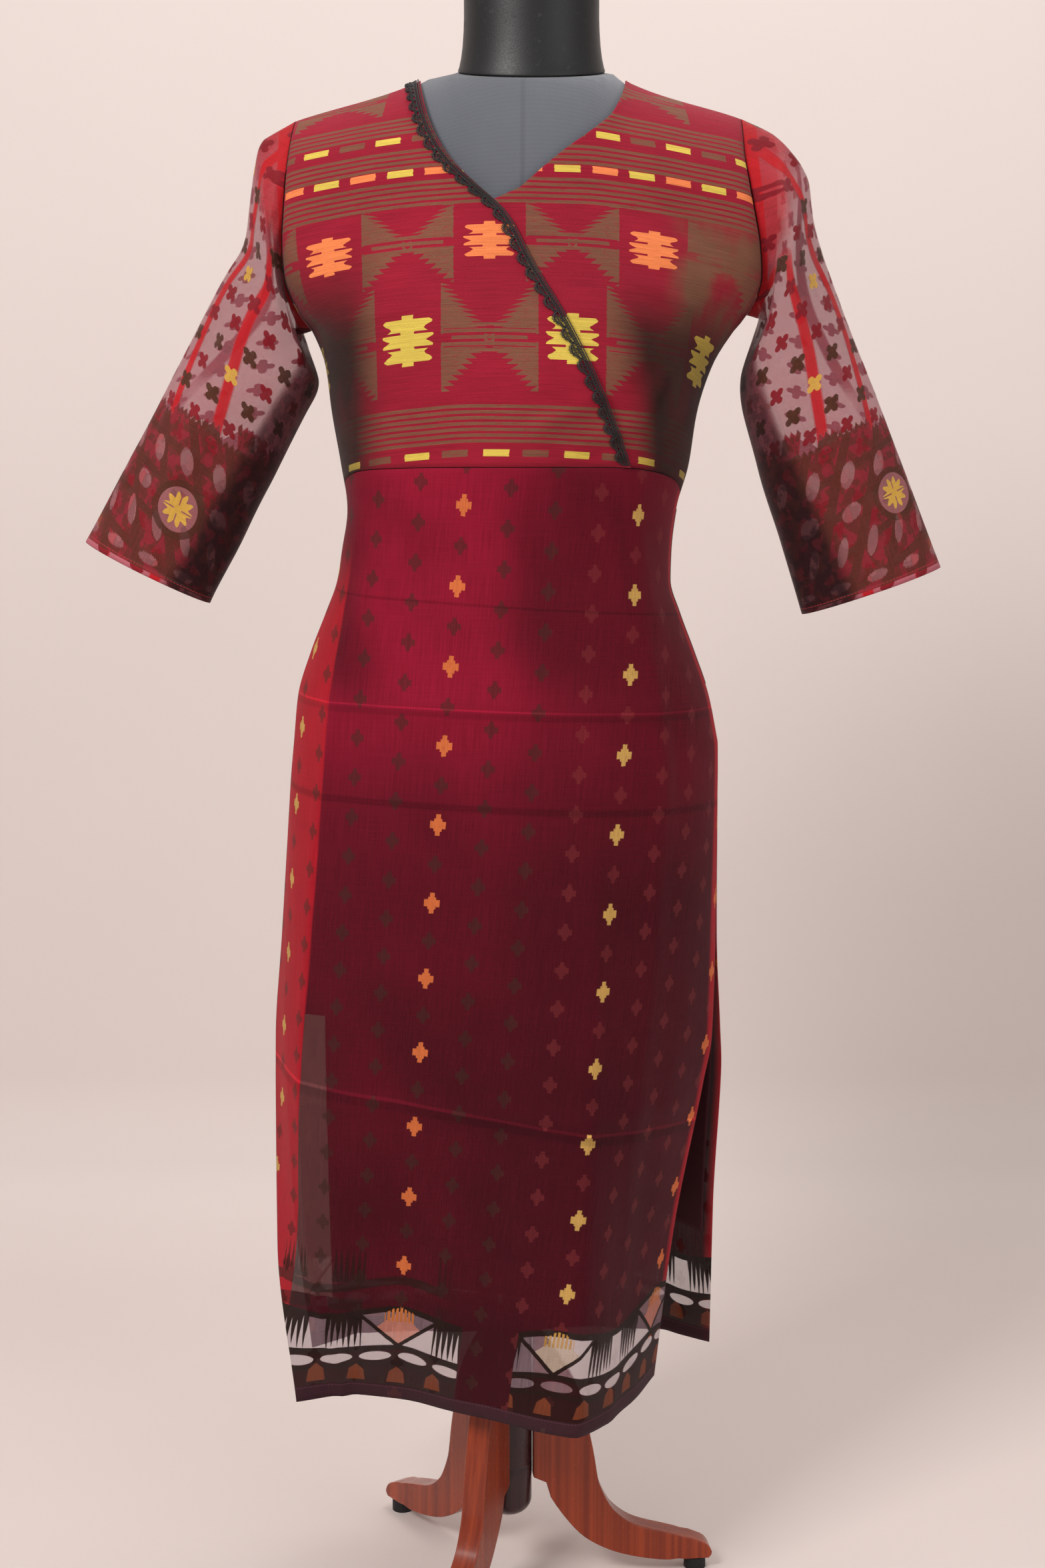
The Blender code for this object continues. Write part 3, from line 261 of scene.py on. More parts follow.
# Creases of the body cloth: start x z, end x z, width, how far it stands out
FRONT_CREASES = (
    (0.01, 1.03, 0.076, 1.066, 0.006, 0.0022), (0.04, 1.016, 0.102, 1.042, 0.005, 0.0018),
    (0.07, 1.012, 0.118, 1.024, 0.004, 0.0013), (0.09, 1.056, 0.128, 1.106, 0.0065, -0.002),
    (0.106, 1.038, 0.142, 1.096, 0.006, 0.0021), (0.118, 1.018, 0.145, 1.054, 0.0045, -0.0016),
    (0.098, 1.196, 0.156, 1.15, 0.0075, 0.0024), (0.112, 1.222, 0.166, 1.182, 0.006, -0.0018),
    (0.1, 1.156, 0.158, 1.128, 0.0065, 0.0019), (0.086, 1.118, 0.148, 1.1, 0.006, -0.0015),
    (-0.166, 1.176, -0.118, 1.206, 0.0065, 0.002), (-0.162, 1.148, -0.108, 1.166, 0.0055, -0.0016),
    (-0.152, 1.118, -0.096, 1.13, 0.006, 0.0017), (-0.144, 1.08, -0.106, 1.056, 0.005, 0.0014),
    (-0.136, 1.048, -0.092, 1.022, 0.0045, -0.0013), (-0.112, 1.25, -0.108, 1.19, 0.006, 0.0013),
    (-0.062, 1.07, -0.044, 1.016, 0.0055, 0.0012), (-0.016, 1.056, -0.008, 1.014, 0.0045, -0.001),
    (-0.088, 1.036, -0.08, 1.012, 0.004, 0.0009), (0.032, 1.092, 0.056, 1.05, 0.006, -0.0012),
    (-0.03, 0.99, -0.042, 0.9, 0.006, 0.0014), (0.018, 0.994, 0.022, 0.914, 0.007, -0.0012),
    (-0.086, 0.986, -0.1, 0.906, 0.0055, 0.0016), (0.076, 0.98, 0.096, 0.88, 0.006, 0.0018),
    (-0.118, 0.96, -0.138, 0.87, 0.006, -0.0015), (0.106, 0.952, 0.124, 0.862, 0.005, 0.0014),
    (-0.15, 0.82, -0.156, 0.7, 0.007, 0.0017), (0.13, 0.83, 0.142, 0.72, 0.0065, -0.0016),
    (-0.09, 0.62, -0.02, 0.54, 0.016, 0.0016), (-0.02, 0.71, 0.04, 0.64, 0.018, -0.0015),
    (0.02, 0.56, 0.07, 0.5, 0.013, 0.0015), (-0.13, 0.54, -0.09, 0.46, 0.012, -0.0014),
    (-0.152, 0.42, -0.148, 0.22, 0.009, 0.002), (-0.086, 0.4, -0.098, 0.21, 0.012, -0.0018),
    (0.012, 0.42, 0.0, 0.21, 0.013, 0.0016), (0.096, 0.4, 0.088, 0.22, 0.008, -0.0018),
)
BACK_CREASES = (
    (-0.14, 1.19, -0.07, 1.15, 0.008, 0.002), (-0.148, 1.15, -0.08, 1.126, 0.007, -0.0016),
    (0.15, 1.196, 0.086, 1.164, 0.0075, 0.0021), (0.144, 1.156, 0.074, 1.12, 0.0065, -0.0017),
    (-0.09, 1.07, -0.02, 1.024, 0.006, 0.0018), (0.096, 1.066, 0.03, 1.028, 0.006, 0.0017),
    (-0.12, 1.05, -0.07, 1.016, 0.005, -0.0014), (0.12, 1.046, 0.072, 1.014, 0.0045, -0.0013),
    (-0.01, 1.11, 0.004, 1.03, 0.008, -0.0012), (0.006, 1.26, 0.0, 1.18, 0.01, 0.001),
    (-0.05, 0.986, -0.062, 0.89, 0.0065, 0.0017), (0.046, 0.988, 0.054, 0.88, 0.006, 0.0016),
    (0.0, 0.99, -0.004, 0.9, 0.007, -0.0014), (-0.108, 0.82, -0.116, 0.66, 0.011, 0.0018),
    (0.09, 0.8, 0.102, 0.62, 0.012, -0.0017), (-0.02, 0.74, -0.036, 0.52, 0.015, 0.0018),
    (-0.09, 0.5, -0.102, 0.22, 0.013, -0.0019), (0.038, 0.52, 0.048, 0.21, 0.014, 0.0018),
)

# Creases of the sleeves: degrees from the outer edge over the front and ring number, at the start
# and at the end, width in degrees, how far it stands out
SLEEVE_CREASES = {
    "sleeve_left": (
        (20, 0.3, 34, 3.4, 7, 0.0022), (62, 0.3, 70, 2.8, 6, -0.0018), (96, 0.4, 88, 4.2, 7, 0.0024),
        (128, 0.8, 112, 3.0, 6, 0.0017), (150, 2.2, 110, 4.6, 8, -0.002), (170, 3.4, 120, 5.4, 7, 0.0019),
        (56, 4.8, 84, 8.2, 8, 0.002), (24, 6.2, 46, 8.7, 7, -0.0014), (132, 6.0, 118, 8.6, 7, 0.0015),
        (216, 1.2, 240, 4.4, 8, 0.0022), (262, 0.5, 268, 3.2, 7, -0.0017), (312, 0.4, 300, 4.8, 8, 0.002),
        (236, 5.0, 256, 8.4, 8, 0.0018), (330, 5.4, 318, 8.6, 7, -0.0014),
    ),
    "sleeve_right": (
        (26, 0.4, 18, 4.2, 7, 0.0026), (52, 0.3, 60, 3.0, 6, -0.002), (84, 0.4, 78, 6.4, 6, 0.0028),
        (112, 0.6, 120, 3.2, 7, 0.0018), (156, 1.8, 122, 4.4, 8, -0.002), (174, 3.0, 134, 5.2, 7, 0.0021),
        (44, 4.6, 58, 8.4, 8, 0.0019), (98, 5.4, 106, 8.6, 7, -0.0015), (14, 6.8, 30, 8.7, 6, 0.0013),
        (222, 1.4, 246, 4.6, 8, 0.0021), (270, 0.6, 262, 3.0, 7, -0.0016), (304, 0.4, 312, 4.4, 8, 0.0022),
        (244, 5.2, 238, 8.5, 8, 0.0017), (322, 5.8, 334, 8.6, 7, -0.0015),
    ),
}


# Shape of the cloth and the form, as in the solids

_curves = {}


def prepared(rows, column):
    """A table's column as points and tangents of a smooth monotone curve, worked out once."""
    key = (id(rows), column)
    if key not in _curves:
        points = sorted((row[0], row[column]) for row in rows)
        slopes = [(b[1] - a[1]) / (b[0] - a[0]) for a, b in zip(points, points[1:])]
        tangents = [slopes[0]]
        for before, after in zip(slopes, slopes[1:]):
            same_way = before * after > 0
            tangents.append(2 * before * after / (before + after) if same_way else 0.0)
        tangents.append(slopes[-1])
        _curves[key] = ([x for x, _ in points], [y for _, y in points], tangents)
    return _curves[key]


def curve_value(rows, at, column):
    """Value of one column of a table at a given first-column value, on a smooth monotone curve."""
    xs, ys, tangents = prepared(rows, column)
    if at <= xs[0]:
        return ys[0]
    if at >= xs[-1]:
        return ys[-1]
    index = min(bisect.bisect_right(xs, at) - 1, len(xs) - 2)
    span = xs[index + 1] - xs[index]
    t = (at - xs[index]) / span
    start = ys[index] + (ys[index + 1] - ys[index]) * t * t * (3 - 2 * t)
    lean = tangents[index] * t * (1 - t) ** 2 - tangents[index + 1] * t * t * (1 - t)
    return start + lean * span


def walked(points):
    """Distances along a line of points, from its first."""
    lengths = [0.0]
    for a, b in zip(points, points[1:]):
        lengths.append(lengths[-1] + math.dist(a, b))
    return lengths


def smooth_step(low, high, value):
    """0 at low, 1 at high, with a soft start and end; low may be the larger one."""
    t = min(1.0, max(0.0, (value - low) / (high - low)))
    return t * t * (3 - 2 * t)


def along(points, place, open_edges=0.0):
    """Point on a smooth curve through a section's points; the ends face front or back where sewn."""
    last = len(points) - 1
    index = min(int(place), last - 1)
    t = place - index
    lengths = [math.dist(a, b) for a, b in zip(points, points[1:])]

    def end_tangent(a, b):
        sewn = (0.0, math.copysign(1.0, b[1] - a[1]))
        free = ((b[0] - a[0]) / math.dist(a, b), (b[1] - a[1]) / math.dist(a, b))
        return tuple(sewn[k] + (free[k] - sewn[k]) * open_edges for k in (0, 1))

    def tangent(i):
        if i == 0:
            return end_tangent(points[0], points[1])
        if i == last:
            return end_tangent(points[-2], points[-1])
        span = lengths[i - 1] + lengths[i]
        return tuple((points[i + 1][k] - points[i - 1][k]) / span for k in (0, 1))

    start, end, length = points[index], points[index + 1], lengths[index]
    go, arrive = tangent(index), tangent(index + 1)
    h00, h01 = 2 * t**3 - 3 * t**2 + 1, 3 * t**2 - 2 * t**3
    h10, h11 = t**3 - 2 * t**2 + t, t**3 - t**2
    return tuple(
        h00 * start[k] + h01 * end[k] + (h10 * go[k] + h11 * arrive[k]) * length for k in (0, 1)
    )


def underarm(share):
    return UNDERARM_LEFT_Z + (UNDERARM_RIGHT_Z - UNDERARM_LEFT_Z) * share


def armhole_reach(z, share):
    """How far the armhole opens in front of and behind the side seam at a height."""
    low = underarm(share)
    if z <= low or z > CHEST_Z:
        return 0.0 if z <= low else ARMHOLE_DEPTH
    return ARMHOLE_DEPTH * math.sqrt(max(0.0, 1 - ((CHEST_Z - z) / (CHEST_Z - low)) ** 2))


def sides_at(z):
    """The body's left and right at a height."""
    return curve_value(OUTLINE, z, 1), curve_value(OUTLINE, z, 2)


def section(panel, z):
    """Control points of the front or the back at a height, from the left edge to the right."""
    table = FRONT if panel == "front" else BACK
    count = (len(table[0]) - 1) // 2
    inner = [
        (curve_value(table, z, 1 + 2 * i), curve_value(table, z, 2 + 2 * i)) for i in range(count)
    ]
    if z >= SLIT_Z:
        left, right = ((x, SIDE[panel] * armhole_reach(z, share)) for share, x in enumerate(sides_at(z)))
    else:
        first = 1 if panel == "front" else 5
        edge = [curve_value(SLIT_EDGES, z, first + i) for i in range(4)]
        left, right = (edge[0], edge[1]), (edge[2], edge[3])
    return [left] + inner + [right]


def shoulder_z(x):
    return curve_value(SHOULDER_LINE, x, 1)


def waist_z(share):
    return WAIST_Z - WAIST_DIP * abs(2 * share - 1) ** 5


def plain_point(panel, place, level):
    """A point on the outside of the body cloth before its creases.

    place runs across from the left edge. level runs down: 0 at the shoulder seam, 1 at the chest,
    2 at the underarm, 3 at the waist seam, and past 3 it is 3 plus metres below the waist seam.
    """
    share = place / LAST_PLACE[panel]
    side = SIDE[panel]
    if level < 1:
        angle = level * math.pi / 2
        x, y = along(section(panel, CHEST_Z), place)
        wide_left, wide_right = sides_at(CHEST_Z)
        part = (x - wide_left) / (wide_right - wide_left)
        left, right = sides_at(CHEST_Z + (OPEN_EDGE_Z - CHEST_Z) * math.cos(angle))
        x = left + (right - left) * part
        z = CHEST_Z + (shoulder_z(x) - CHEST_Z) * math.cos(angle)
        return (x, y * math.sin(angle) + side * SEAM / 2, z)
    if level <= 2:
        z = CHEST_Z + (CHEST_Z - underarm(share)) * math.cos(level * math.pi / 2)
    elif level <= 3:
        z = underarm(share) + (waist_z(share) - underarm(share)) * (level - 2)
    else:
        z = waist_z(share) - (level - 3)
    x, y = along(section(panel, z), place, smooth_step(SLIT_Z, 0.45, z))
    return (x, y + side * SEAM / 2, z)


def crease(creases, x, z):
    """How far the cloth stands out at a point, from its listed creases."""
    out = 0.0
    for x0, z0, x1, z1, width, depth in creases:
        dx, dz = x1 - x0, z1 - z0
        length = math.hypot(dx, dz)
        t = ((x - x0) * dx + (z - z0) * dz) / length**2
        if -0.15 < t < 1.15:
            away = ((x - x0) * dz - (z - z0) * dx) / length
            if abs(away) < 3 * width:
                taper = smooth_step(-0.15, 0.25, t) * smooth_step(1.15, 0.75, t)
                lean = 1.0 + 0.35 * math.tanh(away / width)
                out += CREASE_STRENGTH * depth * taper * lean * math.exp(-(away / width) ** 2)
    return out


# Soft unevenness of the body cloth: depth, and how fine it is across, between front and back, and up
UNEVENNESS = ((0.0009, 14.0, 7.0, 9.0), (0.0004, 47.0, 3.0, 33.0))


def creased(panel, point):
    """A point of the body cloth with its creases and unevenness, which fade out beside the seams."""
    x, y, z = point
    side = SIDE[panel]
    out = crease(FRONT_CREASES if panel == "front" else BACK_CREASES, x, z)
    for depth, per_x, per_side, per_z in UNEVENNESS:
        out += depth * noise.noise(Vector((x * per_x, side * per_side, z * per_z)))
    fade = min(1.0, max(0.0, abs(y) - 0.006) / 0.035) if z > SLIT_Z else 1.0
    steady = smooth_step(1.35, 1.2, z) * 0.9 + 0.1
    return (x, y + side * out * fade * steady, z)


def body_point(panel, place, level):
    return creased(panel, plain_point(panel, place, level))


def skirt_point(panel, place, part):
    """A point on the outside of the skirt; part is 0 at the waist seam and 1 at the hem."""
    share = place / LAST_PLACE[panel]
    z = waist_z(share) - SEAM / 2 + (HEM_Z - waist_z(share)) * part
    x, y, z = plain_point(panel, place, 3 + waist_z(share) - z)
    left, right = sides_at(max(z, SLIT_Z))
    for name, top, foot, top_z, foot_z, fold_width, depth in SKIRT_FOLDS:
        if name == panel and z < top_z:
            down = min(1.0, (top_z - z) / (top_z - foot_z))
            centre = top + (foot - top) * down
            away = (place - centre) / LAST_PLACE[panel] * (right - left)
            y += SIDE[panel] * depth * smooth_step(0.0, 0.35, down) * math.exp(-(away / fold_width) ** 2)
    for left_z, right_z, half_width, depth in PRESSED_LINES:
        line = left_z + (right_z - left_z) * share
        edge_fade = smooth_step(0.0, 0.12, share) * smooth_step(0.0, 0.12, 1 - share)
        y += SIDE[panel] * depth * edge_fade * math.exp(-((z - line) / half_width) ** 2)
    return creased(panel, (x, y, z))


def place_where(level, edge_table):
    """Where the front's row at a level crosses a panel edge given by height and x."""
    low, high = 0.0, LAST_PLACE["front"]
    for _ in range(30):
        middle = (low + high) / 2
        x, _, z = plain_point("front", middle, level)
        if x < curve_value(edge_table, z, 1):
            low = middle
        else:
            high = middle
    return (low + high) / 2


def lift_bottom(point, level):
    """Keeps the bodice just above the waist seam."""
    return (point[0], point[1], point[2] + (SEAM / 2 if level >= 3 else 0.0))


def spaced(start, end, count, crowd=0.0):
    """Places from start up to but not including end; crowd above 0 packs them towards the start."""
    shares = [i / count for i in range(count)]
    return [start + (end - start) * share * (1 - crowd * (1 - share)) for share in shares]


def front_places(level):
    """Columns of the two front panels at a level; the two share them where one lies on the other."""
    wrap = place_where(level, WRAP_EDGE)
    inner = place_where(level, UNDER_EDGE)
    end = LAST_PLACE["front"]
    turn = min(inner, TURN_SHARE * wrap)
    resume = max(wrap, inner + RESUME_SHARE * (end - inner))
    side = [end - place for place in spaced(0.0, end - resume, SIDE_COLUMNS, SIDE_CROWD)][::-1]
    over = spaced(0.0, turn, SIDE_COLUMNS, SIDE_CROWD) + spaced(turn, wrap, LAP_COLUMNS) + [wrap]
    under = spaced(inner, resume, LAP_COLUMNS) + [resume] + side
    return over, under


# Places on the cloth, in metres, for the weave and the woven pattern

_rulers = {}


def ruler(panel, level):
    """Distances along a row from the body's middle line, at even places across it."""
    key = (panel, round(level, 5))
    if key not in _rulers:
        steps = 60
        end = LAST_PLACE[panel]
        points = [plain_point(panel, end * i / steps, level) for i in range(steps + 1)]
        lengths = walked(points)
        middle = 0.0
        for i, (a, b) in enumerate(zip(points, points[1:])):
            if a[0] <= 0.0 <= b[0]:
                t = -a[0] / (b[0] - a[0])
                middle = lengths[i] + t * (lengths[i + 1] - lengths[i])
        _rulers[key] = (end / steps, [length - middle for length in lengths])
    return _rulers[key]


def across(panel, place, level):
    """Distance of a place from the middle line, measured on the cloth."""
    step, lengths = ruler(panel, level)
    index = min(int(place / step), len(lengths) - 2)
    t = place / step - index
    return lengths[index] + (lengths[index + 1] - lengths[index]) * t


def up_the_cloth(panel, place, level):
    """Height on the cloth: over the shoulders it is measured on the surface."""
    if level >= 1:
        return plain_point(panel, place, level)[2]
    steps = 6
    points = [plain_point(panel, place, 1 + (level - 1) * i / steps) for i in range(steps + 1)]
    return points[0][2] + sum(math.dist(a, b) for a, b in zip(points, points[1:]))


# Building shader nodes


def feed(slot, value):
    """Links a value to a socket, or sets it there."""
    if isinstance(value, Field):
        slot.id_data.links.new(value.socket, slot)
    else:
        slot.default_value = (*value, 1.0) if slot.type == "RGBA" else value


def added(tree, kind, *values, **settings):
    """A new shader node with its settings, and its first inputs fed in order."""
    node = tree.nodes.new("ShaderNode" + kind)
    for name, setting in settings.items():
        setattr(node, name, setting)
    for slot, value in zip(node.inputs, values):
        feed(slot, value)
    return node


class Field:
    """A value, place or colour over the surface; Python's signs add the Math nodes that work it out."""

    def __init__(self, socket):
        self.socket, self.tree = socket, socket.id_data

    def math(self, operation, *others):
        return Field(added(self.tree, "Math", self, *others, operation=operation).outputs[0])

    __add__ = functools.partialmethod(math, "ADD")
    __sub__ = functools.partialmethod(math, "SUBTRACT")
    __mul__ = functools.partialmethod(math, "MULTIPLY")
    __truediv__ = functools.partialmethod(math, "DIVIDE")
    size = functools.partialmethod(math, "ABSOLUTE")
    fraction = functools.partialmethod(math, "FRACT")
    below = functools.partialmethod(math, "LESS_THAN")
    above = functools.partialmethod(math, "GREATER_THAN")
    least = functools.partialmethod(math, "MINIMUM")

    def inverted(self):
        """1 minus the value."""
        return self * -1.0 + 1.0

    def squared(self):
        return self.math("POWER", 2.0)

    def between(self, low, high):
        return self.above(low) * self.below(high)

    def most(self, *others):
        result = self
        for other in others:
            result = result.math("MAXIMUM", other)
        return result

    def near(self, centre, pitch):
        """Signed distance to the nearest of a row of centres a pitch apart."""
        return self.math("WRAP", centre - pitch / 2, centre + pitch / 2) - centre

    def count(self, centre, pitch):
        """Number of the nearest centre."""
        return ((self - centre) / pitch + 0.5).math("FLOOR")

    def every(self, number, offset=0):
        """1 where a count is a multiple of a number, after an offset."""
        return (self - offset).math("FLOORED_MODULO", number).below(0.5)

    def ramp(self, low, high, start=0.0, end=1.0):
        """A soft change from start to end between two values of the field."""
        node = added(self.tree, "MapRange", self, low, high, start, end, interpolation_type="SMOOTHSTEP")
        return Field(node.outputs["Result"])

    def parts(self, names="XY"):
        """The numbers of a place; on cloth they are the distances across and up it."""
        node = added(self.tree, "SeparateXYZ", self)
        return [Field(node.outputs[name]) for name in names]


def joined(u, v, w=0.0):
    return Field(added(u.tree, "CombineXYZ", u, v, w).outputs[0])


def speckle(place, scale, detail=2.0, roughness=0.55):
    node = added(place.tree, "TexNoise", place)
    for label, value in (("Scale", scale), ("Detail", detail), ("Roughness", roughness)):
        node.inputs[label].default_value = value
    return Field(node.outputs["Fac"])


def stretched(u, v, per_u, per_v, layer=0.0, detail=1.0, roughness=0.55):
    """Noise with its own fineness each way; layer picks another pattern of it."""
    return speckle(joined(u * per_u, v * per_v, layer), 1.0, detail, roughness)


def dyed(base, colour, mask):
    """A colour laid over another where the mask says."""
    node = added(mask.tree, "Mix", mask, data_type="RGBA")
    for slot, value in zip(node.inputs[6:8], (base, colour)):
        feed(slot, value)
    return Field(node.outputs[2])


def shaded(colour, shade):
    """A colour made lighter or darker by a value around 1."""
    node = added(shade.tree, "VectorMath", colour, operation="SCALE")
    feed(node.inputs["Scale"], shade)
    return Field(node.outputs[0])


def effect(name, build, outputs, **inputs):
    """A node group on a place. Its inputs have the kinds of their start values; "_place" ends a place's."""
    tree = bpy.data.node_groups.new(name, "ShaderNodeTree")
    tree.interface.new_socket("Place", in_out="INPUT", socket_type="NodeSocketVector")
    for label, start in inputs.items():
        kind = "Float" if isinstance(start, float) else "Vector" if label.endswith("_place") else "Color"
        socket = tree.interface.new_socket(
            label.replace("_", " "), in_out="INPUT", socket_type="NodeSocket" + kind)
        socket.default_value = (*start, 1.0) if kind == "Color" else start
    for label in outputs:
        kind = "NodeSocketColor" if label == "Colour" else "NodeSocketFloat"
        tree.interface.new_socket(label, in_out="OUTPUT", socket_type=kind)
    entry, leave = tree.nodes.new("NodeGroupInput"), tree.nodes.new("NodeGroupOutput")
    given = {label: Field(entry.outputs[label.replace("_", " ")]) for label in inputs}
    for label, result in zip(outputs, build(Field(entry.outputs["Place"]), given)):
        feed(leave.inputs[label], result)
    return tree


def placed(group, place, **values):
    """An effect put into a material on a place, with its own values; gives its outputs."""
    node = added(place.tree, "Group", node_tree=group)
    feed(node.inputs["Place"], place)
    for label, value in values.items():
        feed(node.inputs[label.replace("_", " ")], value)
    return [Field(socket) for socket in node.outputs]


# Dye colours

CRIMSON = (0.3, 0.009, 0.027)
DEEP_MAROON = (0.05, 0.003, 0.008)
OLIVE = (0.195, 0.08, 0.047)
BROWN_BLACK = (0.02, 0.008, 0.006)
YELLOW = (0.7, 0.52, 0.085)
ORANGE = (0.86, 0.23, 0.075)
# Tint of the hem border's sheer windows: partly the threads' own colour and partly a painted sheen of the
# threads.
WINDOW_LILAC_AND_SHEEN = (0.37, 0.245, 0.285)
AUBERGINE = (0.05, 0.018, 0.026)


# Effects shared by the materials


def build_weave(place, given):
    """Plain weave with slubs: uneven thicker threads across and along the cloth."""
    u, v = place.parts()
    warp, weft = ((way / given["Thread"] * math.tau).math("SINE") for way in (u, v))
    cross = warp * weft
    lean = given["Warp_streaks"]
    streak = stretched(u, v, 26.0, 900.0, 0.0, 3.0) * lean.inverted()
    streak = streak + stretched(u, v, 900.0, 26.0, 4.0, 3.0) * lean
    cloud = speckle(joined(u, v, 9.0), 9.0, 3.0)
    shade = (streak - 0.5) * given["Streak"] + (cloud - 0.5) * given["Cloud"]
    return shade + cross * 0.05 + 1.0, cross * 0.35 + streak * 1.4


WEAVE = effect("plain_weave_with_slubs", build_weave, ("Shade", "Height"),
               Thread=0.0009, Streak=0.5, Cloud=0.25, Warp_streaks=0.0)

# Woven figures of the bodice: pitch across, and across place and height of their rows, in metres
FIGURE_PITCH = 0.133
FIGURE_START = -0.0183
BOW_ROW_Z = 1.185
LOW_BOW_ROW_Z = 1.108
TOP_BOW_ROW_Z = 1.325

# Bands of fine woven lines: foot, top, pitch of the lines
LINE_BANDS = (
    (1.277, 1.295, 0.0045), (1.246, 1.2635, 0.0044), (1.215, 1.237, 0.0044), (1.025, 1.056, 0.0046),
)


def bar_rows(v):
    """Fine lines woven across in bands."""
    rows = [
        v.between(low, high) * ((v - low) / pitch).fraction().below(0.58) for low, high, pitch in LINE_BANDS
    ]
    return sum(rows[1:], rows[0])


def dash_row(u, v, height, start, pitch):
    """A row of woven dashes of one colour."""
    return (v - height).size().below(0.0028) * u.near(start, pitch).size().below(0.0105)


def shares_of(across_it, up_it, half_width, half_height):
    """Distances from a figure's middle, as shares of its half width and half height."""
    return across_it.size() / half_width, up_it.size() / half_height


def toothed_bow(across_it, up_it, half_width, half_height):
    """Two toothed triangles that meet point to point, joined by bars, with notched outer sides."""
    wide, high = shares_of(across_it, up_it, half_width, half_height)
    saw = (up_it / 0.0042).fraction() * 0.26
    filled = (high - 0.04).below(wide - saw + 0.1) * wide.below(1.0) * high.below(1.0)
    notch = up_it.size().below(0.0032) * wide.above(0.78)
    stripe = (up_it / 0.0052 + 0.25).fraction()
    bars = high.below(0.26) * stripe.below(0.55) * wide.below(0.95)
    core = high.below(0.17) * wide.above(0.1) * wide.below(0.95) * stripe.above(0.55)
    return (filled - core).most(bars, 0.0) * notch.inverted()


def stepped_medallion(across_it, up_it, half_width, half_height):
    """A small stack of bars with toothed ends, slits and a nub above and below."""
    wide, high = shares_of(across_it, up_it, half_width, half_height)
    edge = ((high * 11.4 - 2.3).math("COSINE") * 0.17 + 0.8) - (high - 0.62).most(0.0) * 0.35
    body = wide.below(edge) * high.below(0.84)
    nub = wide.below(0.22) * high.below(1.0)
    slit = (high - 0.3).size().below(0.05) * wide.above(0.26)
    return body.most(nub) * slit.inverted()


def build_bodice(place, given):
    """The figured cloth of the bodice: fine lines, dashes, toothed bows and stepped medallions, with painted
    shade at its sides and under the right arm.
    """
    u, v = place.parts()
    u = u + (stretched(u, v, 90.0, 500.0) - 0.5) * 0.0022
    v = v + (stretched(u, v, 12.0, 4.0, 2.0) - 0.5) * 0.004
    here = u.near(FIGURE_START, FIGURE_PITCH)
    between = u.near(FIGURE_START + FIGURE_PITCH / 2, FIGURE_PITCH)
    olive = bar_rows(v).most(
        toothed_bow(between, v - BOW_ROW_Z, 0.0375, 0.0325),
        toothed_bow(here, v - LOW_BOW_ROW_Z, 0.039, 0.044),
        toothed_bow(here, v - TOP_BOW_ROW_Z, 0.039, 0.026),
        dash_row(u, v, 1.2715, 0.1085, 0.0605), dash_row(u, v, 1.0168, -0.047, 0.0655),
    )
    moved = u + u.below(0.0) * 0.013
    orange = stepped_medallion(here, v - BOW_ROW_Z, 0.0215, 0.015)
    orange = orange.most(dash_row(moved, v, 1.2425, 0.0745, 0.061))
    yellow = stepped_medallion(between, v - 1.1085, 0.022, 0.02).most(
        dash_row(moved, v, 1.2425, 0.044, 0.061), dash_row(u, v, 1.2715, 0.078, 0.0605),
        dash_row(u, v, 1.0168, -0.0132, 0.0655),
    )
    threads = stretched(u, v, 140.0, 1400.0, 5.0)
    ground, brown = given["Ground"], given["Olive"]
    colour = dyed(ground, brown, olive.least(1.0) * (threads.ramp(0.3, 0.5) * 0.45 + 0.52))
    # Painted shade: the right side below the arm and the left side below the chest are darkened towards
    # brown-black where less light falls. The shade is a little patchy, and the yellow figures are dimmed
    # there too.
    painted_side_shade = (u + v * 0.25).ramp(0.352, 0.392) * v.ramp(1.175, 1.105)
    painted_side_shade = painted_side_shade.most(u.ramp(-0.098, -0.145) * v.ramp(1.205, 1.11))
    patch = stretched(u, v, 22.0, 14.0, 7.0, 3.0).ramp(0.35, 0.62)
    rubbed = u.ramp(0.118, 0.15) * v.ramp(1.11, 1.15) * v.ramp(1.23, 1.2)
    colour = dyed(colour, brown, rubbed * patch)
    colour = dyed(colour, given["Stain"], painted_side_shade * (patch * 0.1 + 0.88))
    thread_cover = threads.ramp(0.25, 0.42) * 0.2 + 0.8
    colour = dyed(colour, given["Orange"], orange.least(1.0) * thread_cover)
    colour = dyed(colour, given["Yellow"], yellow.least(1.0) * (painted_side_shade * -0.55 + 1.0) * thread_cover)
    return colour, orange.most(yellow).least(1.0)


BODICE_CLOTH = effect(
    "figured_bodice_cloth", build_bodice, ("Colour", "Thread"),
    Ground=CRIMSON, Olive=OLIVE, Orange=ORANGE, Yellow=YELLOW, Stain=BROWN_BLACK,
)

# Flowers of the skirt: distance between their columns, and between the bright flowers of one column
COLUMN_PITCH = 0.0375
FLOWER_PITCH = 0.065


def small_flower(across_it, up_it, half_width, half_height):
    """A flower of four blunt petals set upright, round a small middle."""
    wide, high = shares_of(across_it, up_it, half_width, half_height)
    upright = wide.below(0.3) * high.below(1.0)
    level = high.below(0.34) * wide.below(1.0)
    middle = wide.below(0.52) * high.below(0.58)
    return upright.most(level, middle)


